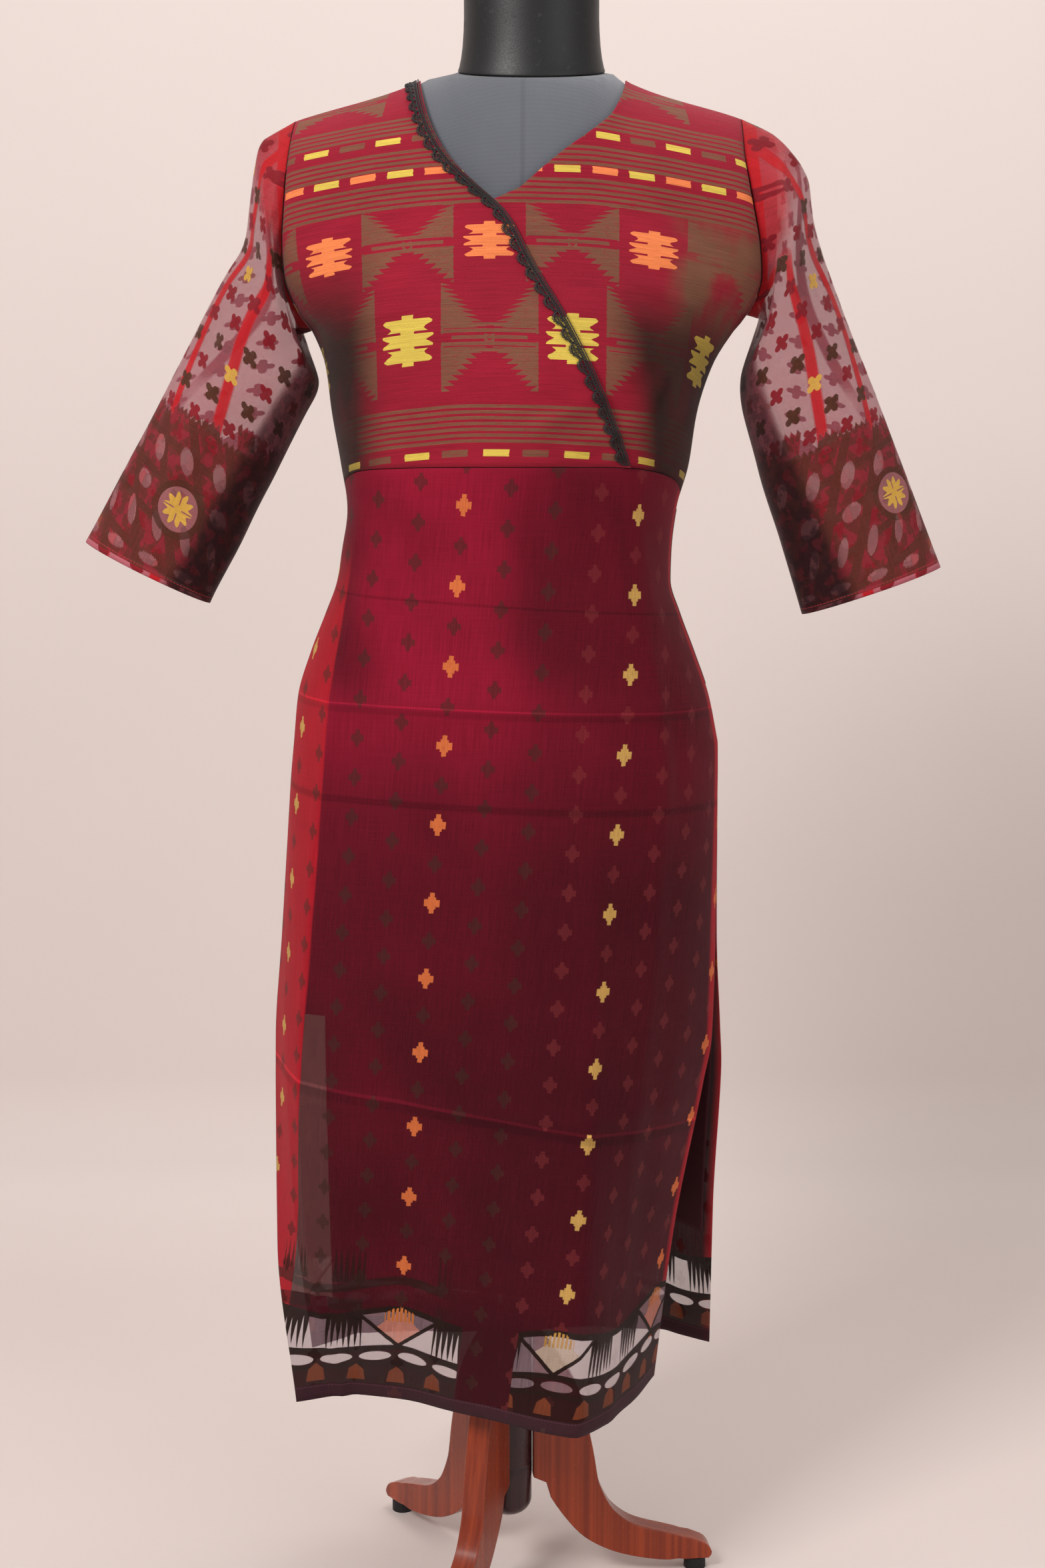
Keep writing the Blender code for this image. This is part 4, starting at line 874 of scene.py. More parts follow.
def build_skirt(place, given):
    """Flowers in leaning columns over the skirt; every fourth column is in bright thread."""
    u, v = place.parts()
    v = v + u * 0.055 + (stretched(u, v, 9.0, 5.0, 2.0) - 0.5) * 0.004
    beside = u.near(0.0, COLUMN_PITCH)
    number = u.count(0.0, COLUMN_PITCH)
    bright_column = number.every(4)
    threads = stretched(u, v, 1500.0, 160.0, 5.0)
    ragged = (threads - 0.5) * 0.0018
    above = v.near(0.0, FLOWER_PITCH)
    bright = small_flower(beside, above + ragged, 0.0066, 0.0088) * bright_column
    staggered = v + number.every(2, 1) * (FLOWER_PITCH / 4)
    plain = small_flower(beside, staggered.near(0.0, FLOWER_PITCH / 2) + ragged, 0.0058, 0.0072)
    plain = plain * bright.inverted() * (bright_column * above.size().below(FLOWER_PITCH / 4)).inverted()
    pale_side = u.ramp(0.07, 0.12)
    plain_dye = dyed(given["Olive"], given["Pale"], pale_side)
    colour = dyed(given["Ground"], plain_dye, plain * (pale_side * -0.28 + 0.62))
    thread_cover = threads.ramp(0.3, 0.46) * 0.28 + 0.7
    for dye, offset in (("Orange", 0), ("Yellow", 4)):
        colour = dyed(colour, given[dye], bright * number.every(8, offset) * thread_cover)
    return colour, bright, plain


SKIRT_CLOTH = effect(
    "flowered_skirt_cloth", build_skirt, ("Colour", "Thread", "Shadow"),
    Ground=CRIMSON, Olive=(0.04, 0.016, 0.012), Pale=(0.2, 0.03, 0.03),
    Orange=(0.62, 0.15, 0.045), Yellow=(0.56, 0.33, 0.09),
)

ARCH_PITCH = 0.15         # distance between the arches of the hem's border


def build_border(place, given):
    """Arches over pale windows, combs, ovals and pentagons along a hem, measured up from the edge, with a
    painted shadow of the arches higher up.
    """
    u, v = place.parts()
    beside = u.near(0.0, ARCH_PITCH)
    out = beside.size()
    wave = (beside / ARCH_PITCH * math.tau).math("COSINE")
    uneven = stretched(u, v, 330.0, 30.0)
    ragged = (uneven - 0.5) * 0.003
    arch = wave * 0.006 + 0.084
    low = wave * 0.004 + 0.047
    under_arch = (v - arch).below(0.0)
    inside = (v + (uneven - 0.5) * 0.01 * out.above(0.06)).below(arch) * (v - low - ragged).above(0.0)
    dark_arch = (v - arch).size().below(0.0028)
    dark_low = (v - low).size().below(0.0026)
    chevron = (out * 0.82 + 0.053 - v + ragged * 0.4).size().below(0.0023) * under_arch
    teeth = ((u / 0.0052).fraction() * 2.0 - 1.0).size()
    combs = (out - 0.05).size().below(0.0165) * teeth.below((v - 0.045) / 0.03 + (uneven - 0.5) * 0.8)
    combs = combs * under_arch
    lens = ((u.near(0.015, 0.035) / 0.0145).squared() + ((v - low + 0.008) / 0.0046).squared()).below(1.0)
    under_lens = (v - low + 0.0155).size().below(0.002)
    diamond = (out / 0.0205 + ((v - 0.071) / 0.017).size()).below(1.0)
    crown = out.below(0.0135) * v.between(0.0775, 0.0935) * (u / 0.0037).fraction().below(0.6)
    crown = crown * (v + out * 0.5 + (uneven - 0.5) * 0.008).below(0.0925)
    sideways, upwards = u.near(0.0, 0.0365).size() / 0.0088, (v - 0.024) / 0.008
    pentagon = sideways.below(upwards * -0.15 + 0.8) * (upwards + sideways * 0.9).below(1.0)
    pentagon = pentagon * upwards.above(-1.0)
    lines = dark_arch.most(chevron, combs, dark_low)
    windows = (inside.most(lens) * lines.inverted()).least(1.0)
    # Painted shadow: a darker copy of the arches and combs higher up, for the border behind showing through
    # the sheer cloth; it fades out towards the right.
    painted_border_shadow = (v - 0.112 - wave * 0.006 + ragged).size().below(0.0042)
    painted_border_shadow_teeth = (out - 0.048).size().below(0.015) * v.between(0.114, 0.146)
    painted_border_shadow = painted_border_shadow.most(
        painted_border_shadow_teeth * teeth.below((v * -1.0 + 0.15) / 0.034),
        v.between(0.086, 0.098) * combs.most(out.between(0.034, 0.066)) * 0.8,
    )
    shown = u.between(given["Gap_low"], given["Gap_high"]).inverted()
    painted_border_shadow = painted_border_shadow * u.ramp(0.062, 0.02) * shown
    base = (v - 0.047).below(0.0) * 0.72
    dark = lines.most(under_lens, base, painted_border_shadow * 0.72) * v.below(0.15)
    colour = dyed(given["Ground"], given["Dark"], dark.least(1.0) * shown)
    # Pale tint of the windows, partly painted sheen of the threads.
    tint = dyed(given["Window"], given["Ground"], uneven.ramp(0.5, 0.85) * 0.35)
    colour = dyed(colour, tint, windows * shown * 0.92)
    colour = dyed(colour, given["Pentagon"], pentagon * shown * 0.85)
    other = u.count(0.0, ARCH_PITCH).every(2)
    bloom = dyed((0.56, 0.43, 0.33), (0.64, 0.24, 0.17), other)
    colour = dyed(colour, bloom, diamond * inside * chevron.inverted() * 0.9)
    colour = dyed(colour, dyed((0.5, 0.26, 0.06), given["Flower"], other), crown)
    return colour, windows * shown * (diamond.most(crown) * -0.6 + 1.0)


HEM_BORDER = effect(
    "woven_hem_border", build_border, ("Colour", "Windows"),
    Ground=CRIMSON, Dark=BROWN_BLACK, Window=WINDOW_LILAC_AND_SHEEN, Pentagon=(0.21, 0.05, 0.02),
    Flower=(0.64, 0.2, 0.05), Gap_low=0.06, Gap_high=0.113,
)


def clover(across_it, up_it, size):
    """A little flower of four round petals set slantwise, joined in the middle."""
    wide, high = shares_of(across_it, up_it, size, size)
    petals = ((wide - 0.54).squared() + (high - 0.54).squared()).below(0.2)
    return petals.most((wide + high).below(0.72))


def rayed_flower(across_it, up_it, size):
    """A large flower of many pointed rays, split by thin lines, and the distance from its middle."""
    away = (across_it * across_it + up_it * up_it).math("SQRT")
    rays = ((up_it.math("ARCTAN2", across_it) * 10.0).math("COSINE") * 0.17 + 0.83) * size
    lines = across_it.size().least(up_it.size()).below(0.0006) * away.above(size * 0.25)
    return away.below(rays) * lines.inverted(), away


# Rows of ovals in a sleeve's border: height, pitch, first place, half width, half height
OVAL_ROWS = (
    (0.1, 0.031, 0.01, 0.0062, 0.0105), (0.07, 0.038, 0.002, 0.0085, 0.007),
    (0.042, 0.027, 0.014, 0.0048, 0.011), (0.014, 0.033, 0.006, 0.009, 0.0042),
)


def build_sleeve(place, given):
    """Sheer sleeve cloth: small flowers in slanting rows, a toothed border and one large flower."""
    u, v = place.parts()
    ragged = (stretched(u, v, 1300.0, 500.0, 5.0) - 0.5) * 0.0016
    slant = u + v * 0.42
    first = clover(slant.near(0.0, 0.034) + ragged, v.near(0.0, 0.04), 0.0064)
    second = clover(slant.near(0.017, 0.034) + ragged, v.near(0.02, 0.04), 0.006)
    third = clover(slant.near(0.017, 0.136), v.near(0.02, 0.08), 0.0062)
    red_turn = v.count(0.0, 0.04).every(3)
    steps = (slant / 0.017 + 0.5).math("FLOOR") * 0.5
    jag = speckle(joined(steps * 3.7, 0.0), 1.0, 0.0) * 0.05
    top = v * -1.0 + 0.112 + jag - (u.near(0.0, 0.0057).size() * 1.6)
    dense = top.ramp(-0.0015, 0.0015) * (v - 0.004).above(0.0)
    ovals = []
    for height, pitch, begin, half_width, half_height in OVAL_ROWS:
        turn = (u.near(begin, pitch) + (v - height) * 0.4) / half_width
        rise = (v - height + ragged * 3.0) / half_height
        ovals.append((turn.squared() + rise.squared()).below(1.0))
    ovals = ovals[0].most(*ovals[1:]) * dense * v.above(0.006)
    lattice = (u + v * 0.55).near(0.0, 0.034).size().below(0.0045)
    lattice = lattice.most((v + u * 0.22).near(0.06, 0.03).size().below(0.0032))
    blotch = stretched(u, v, 120.0, 90.0, 0.0, 2.0).ramp(0.47, 0.53)
    centre_u, centre_v = given["Flower_place"].parts()
    big, away = rayed_flower(u - centre_u, v - centre_v, 0.014)
    olive, red, yellow = given["Olive"], given["Red"], given["Yellow"]
    colour = given["Ground"]
    for dye, mask in (
        (olive, first), (red, second.most(first * red_turn)), (yellow, third * 0.9), (red, dense * 0.9),
        (olive, dense * lattice.most(blotch * 0.8) * 0.8),
        ((0.36, 0.13, 0.14), ovals.most(away.below(0.018)) * 0.85),
        (olive, (away - 0.0205).size().below(0.0028) * 0.8), (yellow, big),
    ):
        colour = dyed(colour, dye, mask)
    shade = (u - v * 0.15).ramp(0.086, 0.102) * (u - v * 0.05).ramp(0.225, 0.2) * v.ramp(0.3, 0.2)
    depth = blotch * 0.12 + v.ramp(0.19, 0.08) * 0.13 + 0.68
    colour = dyed(colour, (0.016, 0.003, 0.0045), shade * depth)
    cover = first.most(second, third).most(dense * (ovals * -0.35 + 1.0), big, shade * 0.97)
    return colour, cover


SLEEVE_CLOTH = effect(
    "flowered_sleeve_cloth", build_sleeve, ("Colour", "Cover"),
    Flower_place=(0.08, 0.062, 0.0), Ground=(0.43, 0.115, 0.145), Olive=(0.085, 0.026, 0.014),
    Red=(0.23, 0.01, 0.018), Yellow=(0.69, 0.4, 0.07),
)


def build_stitches(place, given):
    """A sewn row at one height on the cloth: dashes of thread with a small dip beside them."""
    u, v = place.parts()
    off = (v - given["Row"]).size()
    return (u / 0.0031).fraction().below(0.68) * off.below(0.00045), off.ramp(0.003, 0.0)


STITCHES = effect("sewn_row", build_stitches, ("Thread", "Dip"), Row=0.0)


def build_wear(place, given):
    """Soft handling marks: slow cloudy change of tone and small scuffs."""
    cloud = speckle(place, 7.0, 4.0)
    scuff = speckle(place, 160.0, 2.0).ramp(0.62, 0.72)
    return (cloud - 0.5) * given["Amount"] + 1.0, scuff * given["Amount"]


WEAR = effect("handling_marks", build_wear, ("Shade", "Scuff"), Amount=0.3)


def build_knit(place, given):
    """Fine jersey: columns of small V stitches."""
    u, v = place.parts()
    column = (u * 700.0).math("PINGPONG", 0.5)
    stitch = ((v * 520.0 + column * 0.9) * math.tau).math("SINE")
    cloud = speckle(place, 14.0, 4.0)
    return column * 1.2 + stitch * 0.3, (cloud - 0.5) * 0.28 + stitch * 0.03 + 1.0


KNIT = effect("fine_jersey", build_knit, ("Height", "Shade"))


def build_grain(place, given):
    """Wood grain: long streaks along one direction, with pores."""
    x, y = place.parts()
    streak = stretched(x, y, 160.0, 9.0, 0.0, 5.0, 0.6)
    pores = stretched(x, y, 900.0, 40.0, 3.0, 2.0).ramp(0.6, 0.7)
    return dyed(given["Dark"], given["Light"], streak.ramp(0.34, 0.66)), pores


GRAIN = effect("lacquered_wood_grain", build_grain, ("Colour", "Pores"),
               Dark=(0.05, 0.01, 0.005), Light=(0.2, 0.04, 0.012))


# Materials


def set_inputs(shader, **values):
    """Feeds the shader's inputs by name."""
    for label, value in values.items():
        feed(shader.inputs[label.replace("_", " ")], value)


def new_material(name, roughness, specular=0.5, **settings):
    """An empty material with its shader, and the shader's tree."""
    material = bpy.data.materials.new(name)
    material.use_nodes = True
    tree = material.node_tree
    shader = tree.nodes["Principled BSDF"]
    set_inputs(shader, Roughness=roughness, Specular_IOR_Level=specular, **settings)
    return material, tree, shader


def cloth_place(tree, layer="cloth"):
    return Field(added(tree, "UVMap", uv_map=layer).outputs[0])


def body_place(tree):
    """Place in the object's own frame, in metres."""
    return Field(added(tree, "TexCoord").outputs["Object"])


def roughened(shader, height, strength, distance):
    """Relief of the surface from a height that varies over it."""
    bump = added(height.tree, "Bump")
    for label, value in (("Strength", strength), ("Distance", distance), ("Height", height)):
        feed(bump.inputs[label], value)
    set_inputs(shader, Normal=Field(bump.outputs[0]))


def figured_cloth(name):
    """Woven cotton of the bodice, with its figures in thicker thread."""
    material, tree, shader = new_material(name, 0.8, 0.15, Sheen_Weight=0.06, Sheen_Roughness=0.45)
    place = cloth_place(tree)
    colour, thread = placed(BODICE_CLOTH, place)
    shade, height = placed(WEAVE, place, Thread=0.0009, Streak=0.75, Cloud=0.55)
    set_inputs(shader, Base_Color=shaded(colour, shade), Roughness=thread * -0.22 + 0.8)
    roughened(shader, height + thread * 1.5, 0.55, 0.0006)
    return material


# Painted highlight and shade along the lines pressed across the skirt: height at the front's middle, rise to
# the right, half height, shade (above 0 a painted highlight, below 0 painted shade)
PRESSED_LINE_PAINTED_LIGHT = (
    (0.81, -0.03, 0.0011, 0.55), (0.73, -0.04, 0.0045, -0.28), (0.8055, -0.03, 0.0036, -0.2),
    (0.474, -0.13, 0.0022, 0.6), (0.469, -0.13, 0.006, -0.24), (0.895, -0.06, 0.0016, -0.25),
)
SKIRT_COVER = 0.88        # how much the plain skirt cloth hides what lies behind it
SLEEVE_COVER = 0.32
TURNED_HEM = 0.0125
HEM_STITCHES = 0.011      # height of the sewn row over the hem's edge
TURNED_CUFF = 0.0065
CUFF_STITCHES = 0.0058
SEWN_RELIEF = 1.2         # how far sewn thread stands out, beside the weave's own relief


def sheer_skirt_cloth(name, strip_low, show_window_and_painted_lines):
    """Fine sheer cotton of the skirt, with leaning flower columns and a woven border at the hem; painted
    light brightens the unlined strips along its sides, and painted highlight and shade lie along its pressed
    lines.
    """
    material, tree, shader = new_material(name, 0.8, 0.12, Sheen_Weight=0.06, Sheen_Roughness=0.4)
    place = cloth_place(tree)
    u, v = place.parts()
    from_right = cloth_place(tree, "edges").parts("X")[0]
    # Painted light: the strips along the panel's sides, where no lining lies behind the cloth, are painted
    # bright red for the light shining through them.
    right = (from_right - v.ramp(0.43, 0.78, 0.007, 0.027)) / 0.008
    edge = u.ramp(strip_low + 0.0015, strip_low - 0.0015) * v.ramp(0.955, 0.88)
    edge = edge.most(right.ramp(0.6, -0.6))
    soft = speckle(joined(u * 4.0 + v * 3.0, v * 2.2 - u * 1.5, 6.0), 1.0, 2.0).ramp(0.4, 0.62)
    soft = soft * (u.ramp(0.03, 0.11) * -0.6 + 1.0)
    lower = v.ramp(0.86, 0.64)
    ground = dyed((0.12, 0.004, 0.013), (0.3, 0.007, 0.03), soft * (lower * -0.75 + 1.0))
    ground = dyed(ground, (0.058, 0.003, 0.0085), lower * (soft * -0.35 + 0.85))
    ground = dyed(ground, (0.036, 0.0026, 0.006), v.ramp(HEM_Z + 0.13, HEM_Z + 0.07) * 0.6)
    ground = dyed(ground, (0.47, 0.01, 0.022), edge * 0.85)
    wide = v * -0.093 + 0.07
    window = u.above(strip_low) * (u - strip_low - wide).below(0.0) * v.between(0.29, 0.548) * show_window_and_painted_lines
    ground = dyed(ground, (0.125, 0.042, 0.043), window * 0.85)
    colour, flower_thread, flower_shadow = placed(SKIRT_CLOTH, place, Ground=ground)
    up = v - HEM_Z
    on_hem = joined(u, up)
    colour, windows = placed(HEM_BORDER, on_hem, Ground=colour)
    weave, height = placed(WEAVE, place, Thread=0.0007, Streak=0.8, Cloud=0.35, Warp_streaks=0.7)
    turned_hem = up.below(TURNED_HEM)
    sewn, dip = placed(STITCHES, on_hem, Row=HEM_STITCHES)
    colour = dyed(colour, AUBERGINE, turned_hem * 0.85)
    colour = dyed(colour, (0.11, 0.04, 0.055), sewn * 0.8)
    # Painted highlight and shade along the pressed lines, laid on the weave's own tone.
    weave_and_painted_line_light = weave
    for line_z, rise, half, shade in PRESSED_LINE_PAINTED_LIGHT:
        weave_and_painted_line_light = weave_and_painted_line_light + (v - u * rise - line_z).size().ramp(half, half * 0.3) * shade * show_window_and_painted_lines
    opaque = flower_thread.most(flower_shadow * 0.8)
    alpha = (opaque * (1.0 - SKIRT_COVER) + SKIRT_COVER + (weave - 1.0) * 0.25).least(1.0) - window * 0.12
    alpha = (alpha * (windows * -0.62 + 1.0)).most(turned_hem * 0.97)
    set_inputs(shader, Base_Color=shaded(colour, weave_and_painted_line_light), Alpha=alpha)
    roughened(shader, height + flower_thread * 1.4 + sewn * SEWN_RELIEF - dip, 0.5, 0.0005)
    return material


# Middle of the large flower on a sleeve: distance round it from its outer edge, and up from the cuff
LARGE_FLOWERS = {"sleeve_left": (0.08, 0.062, 0.0), "sleeve_right": (0.034, 0.07, 0.0)}

# Red lines down a sleeve where its sheer cloth lies double: distance round it, half width
SLEEVE_RED_LINES = ((0.03, 0.005), (0.078, 0.0065), (0.15, 0.008), (0.215, 0.006), (0.29, 0.007))


def sheer_sleeve_cloth(name, flower):
    """Very fine sheer cotton of the sleeves."""
    material, tree, shader = new_material(name, 0.75, 0.15, Sheen_Weight=0.1, Sheen_Roughness=0.4)
    place = cloth_place(tree)
    u, v = place.parts()
    pattern, cover = placed(SLEEVE_CLOTH, place, Flower_place=flower)
    weave, height = placed(WEAVE, place, Thread=0.0006, Streak=0.8, Cloud=0.6, Warp_streaks=0.5)
    down = cloth_place(tree, "edges").parts("X")[0]
    drift = (speckle(joined(v * 7.0, 0.3), 1.0, 1.0) - 0.5) * 0.055
    folds = [(u + drift - centre).size().ramp(width, width * 0.55) for centre, width in SLEEVE_RED_LINES]
    fold = folds[0].most(*folds[1:]) * stretched(u, v, 7.0, 9.0, 1.0).ramp(0.36, 0.5)
    wash = stretched(u, v, 11.0, 6.0, 2.0).ramp(0.35, 0.6)
    fold = fold.most(down.ramp(0.06, 0.02) * wash * 0.75, down.ramp(0.012, 0.009))
    sewn, dip = placed(STITCHES, place, Row=CUFF_STITCHES)
    colour = dyed(pattern, (0.48, 0.012, 0.018), fold * cover.inverted())
    colour = dyed(colour, (0.33, 0.03, 0.035), sewn * 0.8)
    alpha = (cover * 0.84).most(fold * 0.5 + SLEEVE_COVER, v.below(TURNED_CUFF) * 0.95) + (weave - 1.0) * 0.3
    set_inputs(shader, Base_Color=shaded(colour, weave), Alpha=alpha.least(1.0))
    roughened(shader, height + sewn * SEWN_RELIEF - dip, 0.4, 0.0004)
    return material


def lining_satin(name):
    material, tree, shader = new_material(name, 0.55, 0.3)
    weave, height = placed(WEAVE, cloth_place(tree), Thread=0.0006, Streak=0.5, Cloud=0.4)
    marks, scuff = placed(WEAR, body_place(tree), Amount=0.35)
    set_inputs(shader, Base_Color=shaded(dyed(DEEP_MAROON, (0.075, 0.004, 0.011), scuff), weave * marks))
    roughened(shader, height, 0.3, 0.0004)
    return material


def crochet_thread(name):
    material, tree, shader = new_material(name, 0.58, 0.4)
    place = body_place(tree)
    marks, _ = placed(WEAR, place, Amount=0.5)
    twist = speckle(place, 1500.0, 2.0)
    set_inputs(shader, Base_Color=shaded(dyed((0.006, 0.006, 0.007), (0.028, 0.027, 0.029), twist), marks))
    roughened(shader, twist, 0.5, 0.0004)
    return material


def jersey(name, colour, sheen):
    """Stretch jersey over the form, with its middle seam."""
    material, tree, shader = new_material(name, 0.85, 0.2, Sheen_Weight=sheen, Sheen_Roughness=0.6)
    place = cloth_place(tree)
    height, shade = placed(KNIT, place)
    marks, _ = placed(WEAR, body_place(tree), Amount=0.22)
    seam = place.parts("X")[0].size().ramp(0.003, 0.0004)
    base = dyed(colour, tuple(c * 0.72 for c in colour), seam * 0.5)
    set_inputs(shader, Base_Color=shaded(base, shade * marks))
    roughened(shader, height * 0.4 - seam * 1.6, 0.45, 0.0007)
    return material


def smooth_black(name, roughness, leather=0.0):
    """Black moulded or covered parts: neck block, arm plates and foot pads."""
    material, tree, shader = new_material(name, roughness, 0.4)
    place = body_place(tree)
    marks, scuff = placed(WEAR, place, Amount=0.6)
    pebble = speckle(place, 700.0, 2.0)
    colour = dyed((0.01, 0.01, 0.011), (0.03, 0.029, 0.03), scuff)
    rough = (pebble - 0.5) * 0.2 + roughness + scuff * 0.25
    set_inputs(shader, Base_Color=shaded(colour, marks), Roughness=rough)
    roughened(shader, pebble, 0.25 + leather, 0.0004)
    return material


def polished_pole(name):
    material, tree, shader = new_material(name, 0.28, Metallic=1.0)
    place = body_place(tree)
    x, z = place.parts("XZ")
    draw = stretched(x, z, 30.0, 2600.0, 0.0, 2.0)
    marks, scuff = placed(WEAR, place, Amount=0.4)
    colour = shaded(dyed((0.42, 0.42, 0.43), (0.6, 0.6, 0.61), draw), marks)
    set_inputs(shader, Base_Color=colour, Roughness=draw * 0.16 + 0.2 + scuff * 0.2)
    return material


def lacquered_wood(name, dark, light, along_z):
    """Stained and lacquered wood; the grain runs along the piece."""
    material, tree, shader = new_material(name, 0.4, 0.3, Coat_Weight=0.25, Coat_Roughness=0.2)
    place = body_place(tree)
    if along_z:
        x, y, z = place.parts("XYZ")
        grain_place = joined(x + y * 0.7, z)
    else:
        grain_place = cloth_place(tree)
    colour, pores = placed(GRAIN, grain_place, Dark=dark, Light=light)
    marks, scuff = placed(WEAR, place, Amount=0.4)
    set_inputs(shader, Base_Color=shaded(colour, marks), Roughness=pores * 0.15 + 0.26 + scuff * 0.3)
    roughened(shader, pores * -1.0, 0.2, 0.0003)
    return material


# Making the pieces


def turns(count):
    """Angles at even steps round a ring."""
    return [math.tau * k / count for k in range(count)]


def finished(work, name):
    """A mesh from what was built."""
    mesh = bpy.data.meshes.new(name)
    work.to_mesh(mesh)
    work.free()
    return mesh


def new_object(name, mesh, material, slot, *nodes):
    """Adds a piece to the scene with its material and rides it on the body."""
    mesh.materials.append(material)
    mesh.shade_smooth()
    piece = bpy.data.objects.new(name, mesh)
    bpy.context.scene.collection.objects.link(piece)
    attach(piece, "root")
    if nodes:
        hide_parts(*nodes)
    return piece


def grid_mesh(name, rows, places, closed=False, flip=False):
    """A sheet of quads through rows of points, with each point's place on the cloth.

    A place is across and up the cloth, and where there is a third number, the distance from an edge:
    down from a sleeve's head, or in from a skirt panel's right side.
    """
    work = bmesh.new()
    cloth = work.loops.layers.uv.new("cloth")
    edges = work.loops.layers.uv.new("edges") if len(places[0][0]) > 2 else None
    grid = [[work.verts.new(point) for point in row] for row in rows]
    count = len(rows[0])
    for r in range(len(rows) - 1):
        for i in range(count if closed else count - 1):
            j = (i + 1) % count
            corners = [(r, i, i), (r + 1, i, i), (r + 1, j, i + 1), (r, j, i + 1)]
            if flip:
                corners.reverse()
            face = work.faces.new([grid[a][b] for a, b, _ in corners])
            for loop, (a, _, c) in zip(face.loops, corners):
                loop[cloth].uv = places[a][c][:2]
                if edges:
                    loop[edges].uv = (places[a][c][2], 0.0)
    return finished(work, name)


def cloth_piece(name, rows, places, material, slot, node, closed=False, flip=False, wall=0.0009):
    """A thin shell of cloth: its rows lie on the outside."""
    piece = new_object(name, grid_mesh(name, rows, places, closed, flip), material, slot, node)
    thick = piece.modifiers.new("wall", "SOLIDIFY")
    thick.thickness = wall
    thick.offset = -1.0
    thick.use_even_offset = True
    return piece


def closed_body(name, rings, material, slot, *nodes, places=None):
    """A solid through closed rings, capped at both ends."""
    work = bmesh.new()
    cloth = work.loops.layers.uv.new("cloth")
    grid = [[work.verts.new(point) for point in ring] for ring in rings]
    count = len(rings[0])
    for r in range(len(rings) - 1):
        for i in range(count):
            j = (i + 1) % count
            face = work.faces.new((grid[r][i], grid[r + 1][i], grid[r + 1][j], grid[r][j]))
            if places:
                corners = ((r, i), (r + 1, i), (r + 1, i + 1), (r, i + 1))
                for loop, (a, c) in zip(face.loops, corners):
                    loop[cloth].uv = places[a][c]
    for ring in (grid[0], grid[-1][::-1]):
        cap = work.faces.new(ring)
        if places:
            for loop in cap.loops:
                loop[cloth].uv = (loop.vert.co.x, loop.vert.co.y)
    bmesh.ops.recalc_face_normals(work, faces=work.faces)
    bmesh.ops.triangulate(work, faces=[face for face in work.faces if len(face.verts) > 4])
    return new_object(name, finished(work, name), material, slot, *nodes)


# Bodice


# Levels of the bodice's rows: from the shoulder seam to the underarm, and on to the waist seam
BODICE_LEVELS = [2.0 * k / 40 for k in range(41)] + [2 + k / 24 for k in range(1, 25)]
DROOP_REACH = 0.15        # distance from the middle line at which the woven rows have sunk in full


def body_places(panel, rows_of_places, droop=0.0):
    """Places on the cloth for a bodice panel's points; the woven rows droop towards the armholes."""
    result = []
    for row in rows_of_places:
        new_row = []
        for place, level in row:
            u = across(panel, place, level)
            new_row.append((u, up_the_cloth(panel, place, level) + droop * (u / DROOP_REACH) ** 2))
        result.append(new_row)
    return result


def bodice_points(panel, row):
    """Points of a bodice panel's row, just above the waist seam where it ends there."""
    return [lift_bottom(body_point(panel, place, level), level) for place, level in row]


def under_panel_points(row):
    """Points of the under panel: moved in by a wall and two seams where the upper panel lies on it."""
    edge = place_where(row[0][1], WRAP_EDGE)
    points = []
    for (place, _), (x, y, z) in zip(row, bodice_points("front", row)):
        beside = smooth_step(*(edge + reach for reach in UNDER_BESIDE), place)
        above = smooth_step(*(CHEST_Z + reach for reach in UNDER_ABOVE), z)
        points.append((x, y + (CLOTH + 2 * SEAM) * (1 - max(beside, above)), z))
    return points


def crowded(share):
    """An even share across the back, moved towards the nearer side seam."""
    return share + BACK_CROWD * math.sin(2 * math.pi * (share - 0.5))


def back_shares():
    """Columns of the back, closer together near the side seams."""
    return [crowded(i / (BACK_COLUMNS - 1)) for i in range(BACK_COLUMNS)]


def back_neck():
    """Middle and half width of the back's neck, as shares across."""
    first, last = (crowded(i / BACK_NECK_STEPS) for i in BACK_NECK_COLUMNS)
    return (first + last) / 2, (last - first) / 2


def back_level(share, level):
    """A level of the back, lowered under its round neck."""
    middle, half = back_neck()
    off = min(1.0, abs(share - middle) / half)
    start = BACK_NECK_DROP * (1 - off**2) ** 0.75
    return start + (1 - start) * level if level < 1 else level


def back_rows():
    """Places and levels of the back's points, row by row."""
    end = LAST_PLACE["back"]
    return [[(share * end, back_level(share, level)) for share in back_shares()] for level in BODICE_LEVELS]


# Skirt and lining


SKIRT_STEPS = 190
SAME_COLUMN = 0.004       # places closer together than this are one column
LINING_START = 0.012      # share of the skirt's length above the lining's first row
LINING_SLACK = 0.01       # how far past its first and last place a column of the lining may lie
FRONT_LIMIT_Y = 0.01      # points in front of this are moved in as the front's

# The skirt's first column of orange flowers: its x at the top, and how far it leans in a metre
FLOWER_COLUMNS = {"front": (-0.039, 0.084), "back": (-0.06, 0.0)}
FLOWER_TOP_Z = 0.98


def skirt_places(panel):
    """Columns of a skirt panel: the bodice's own, so that the waist seam meets all along."""
    if panel == "back":
        return [share * LAST_PLACE["back"] for share in back_shares()]
    over, under = front_places(3.0)
    return over + [place for place in under if place > over[-1] + SAME_COLUMN]


def skirt_rows(panel):
    places = skirt_places(panel)
    parts = [r / SKIRT_STEPS for r in range(SKIRT_STEPS + 1)]
    return [[skirt_point(panel, place, part) for place in places] for part in parts]


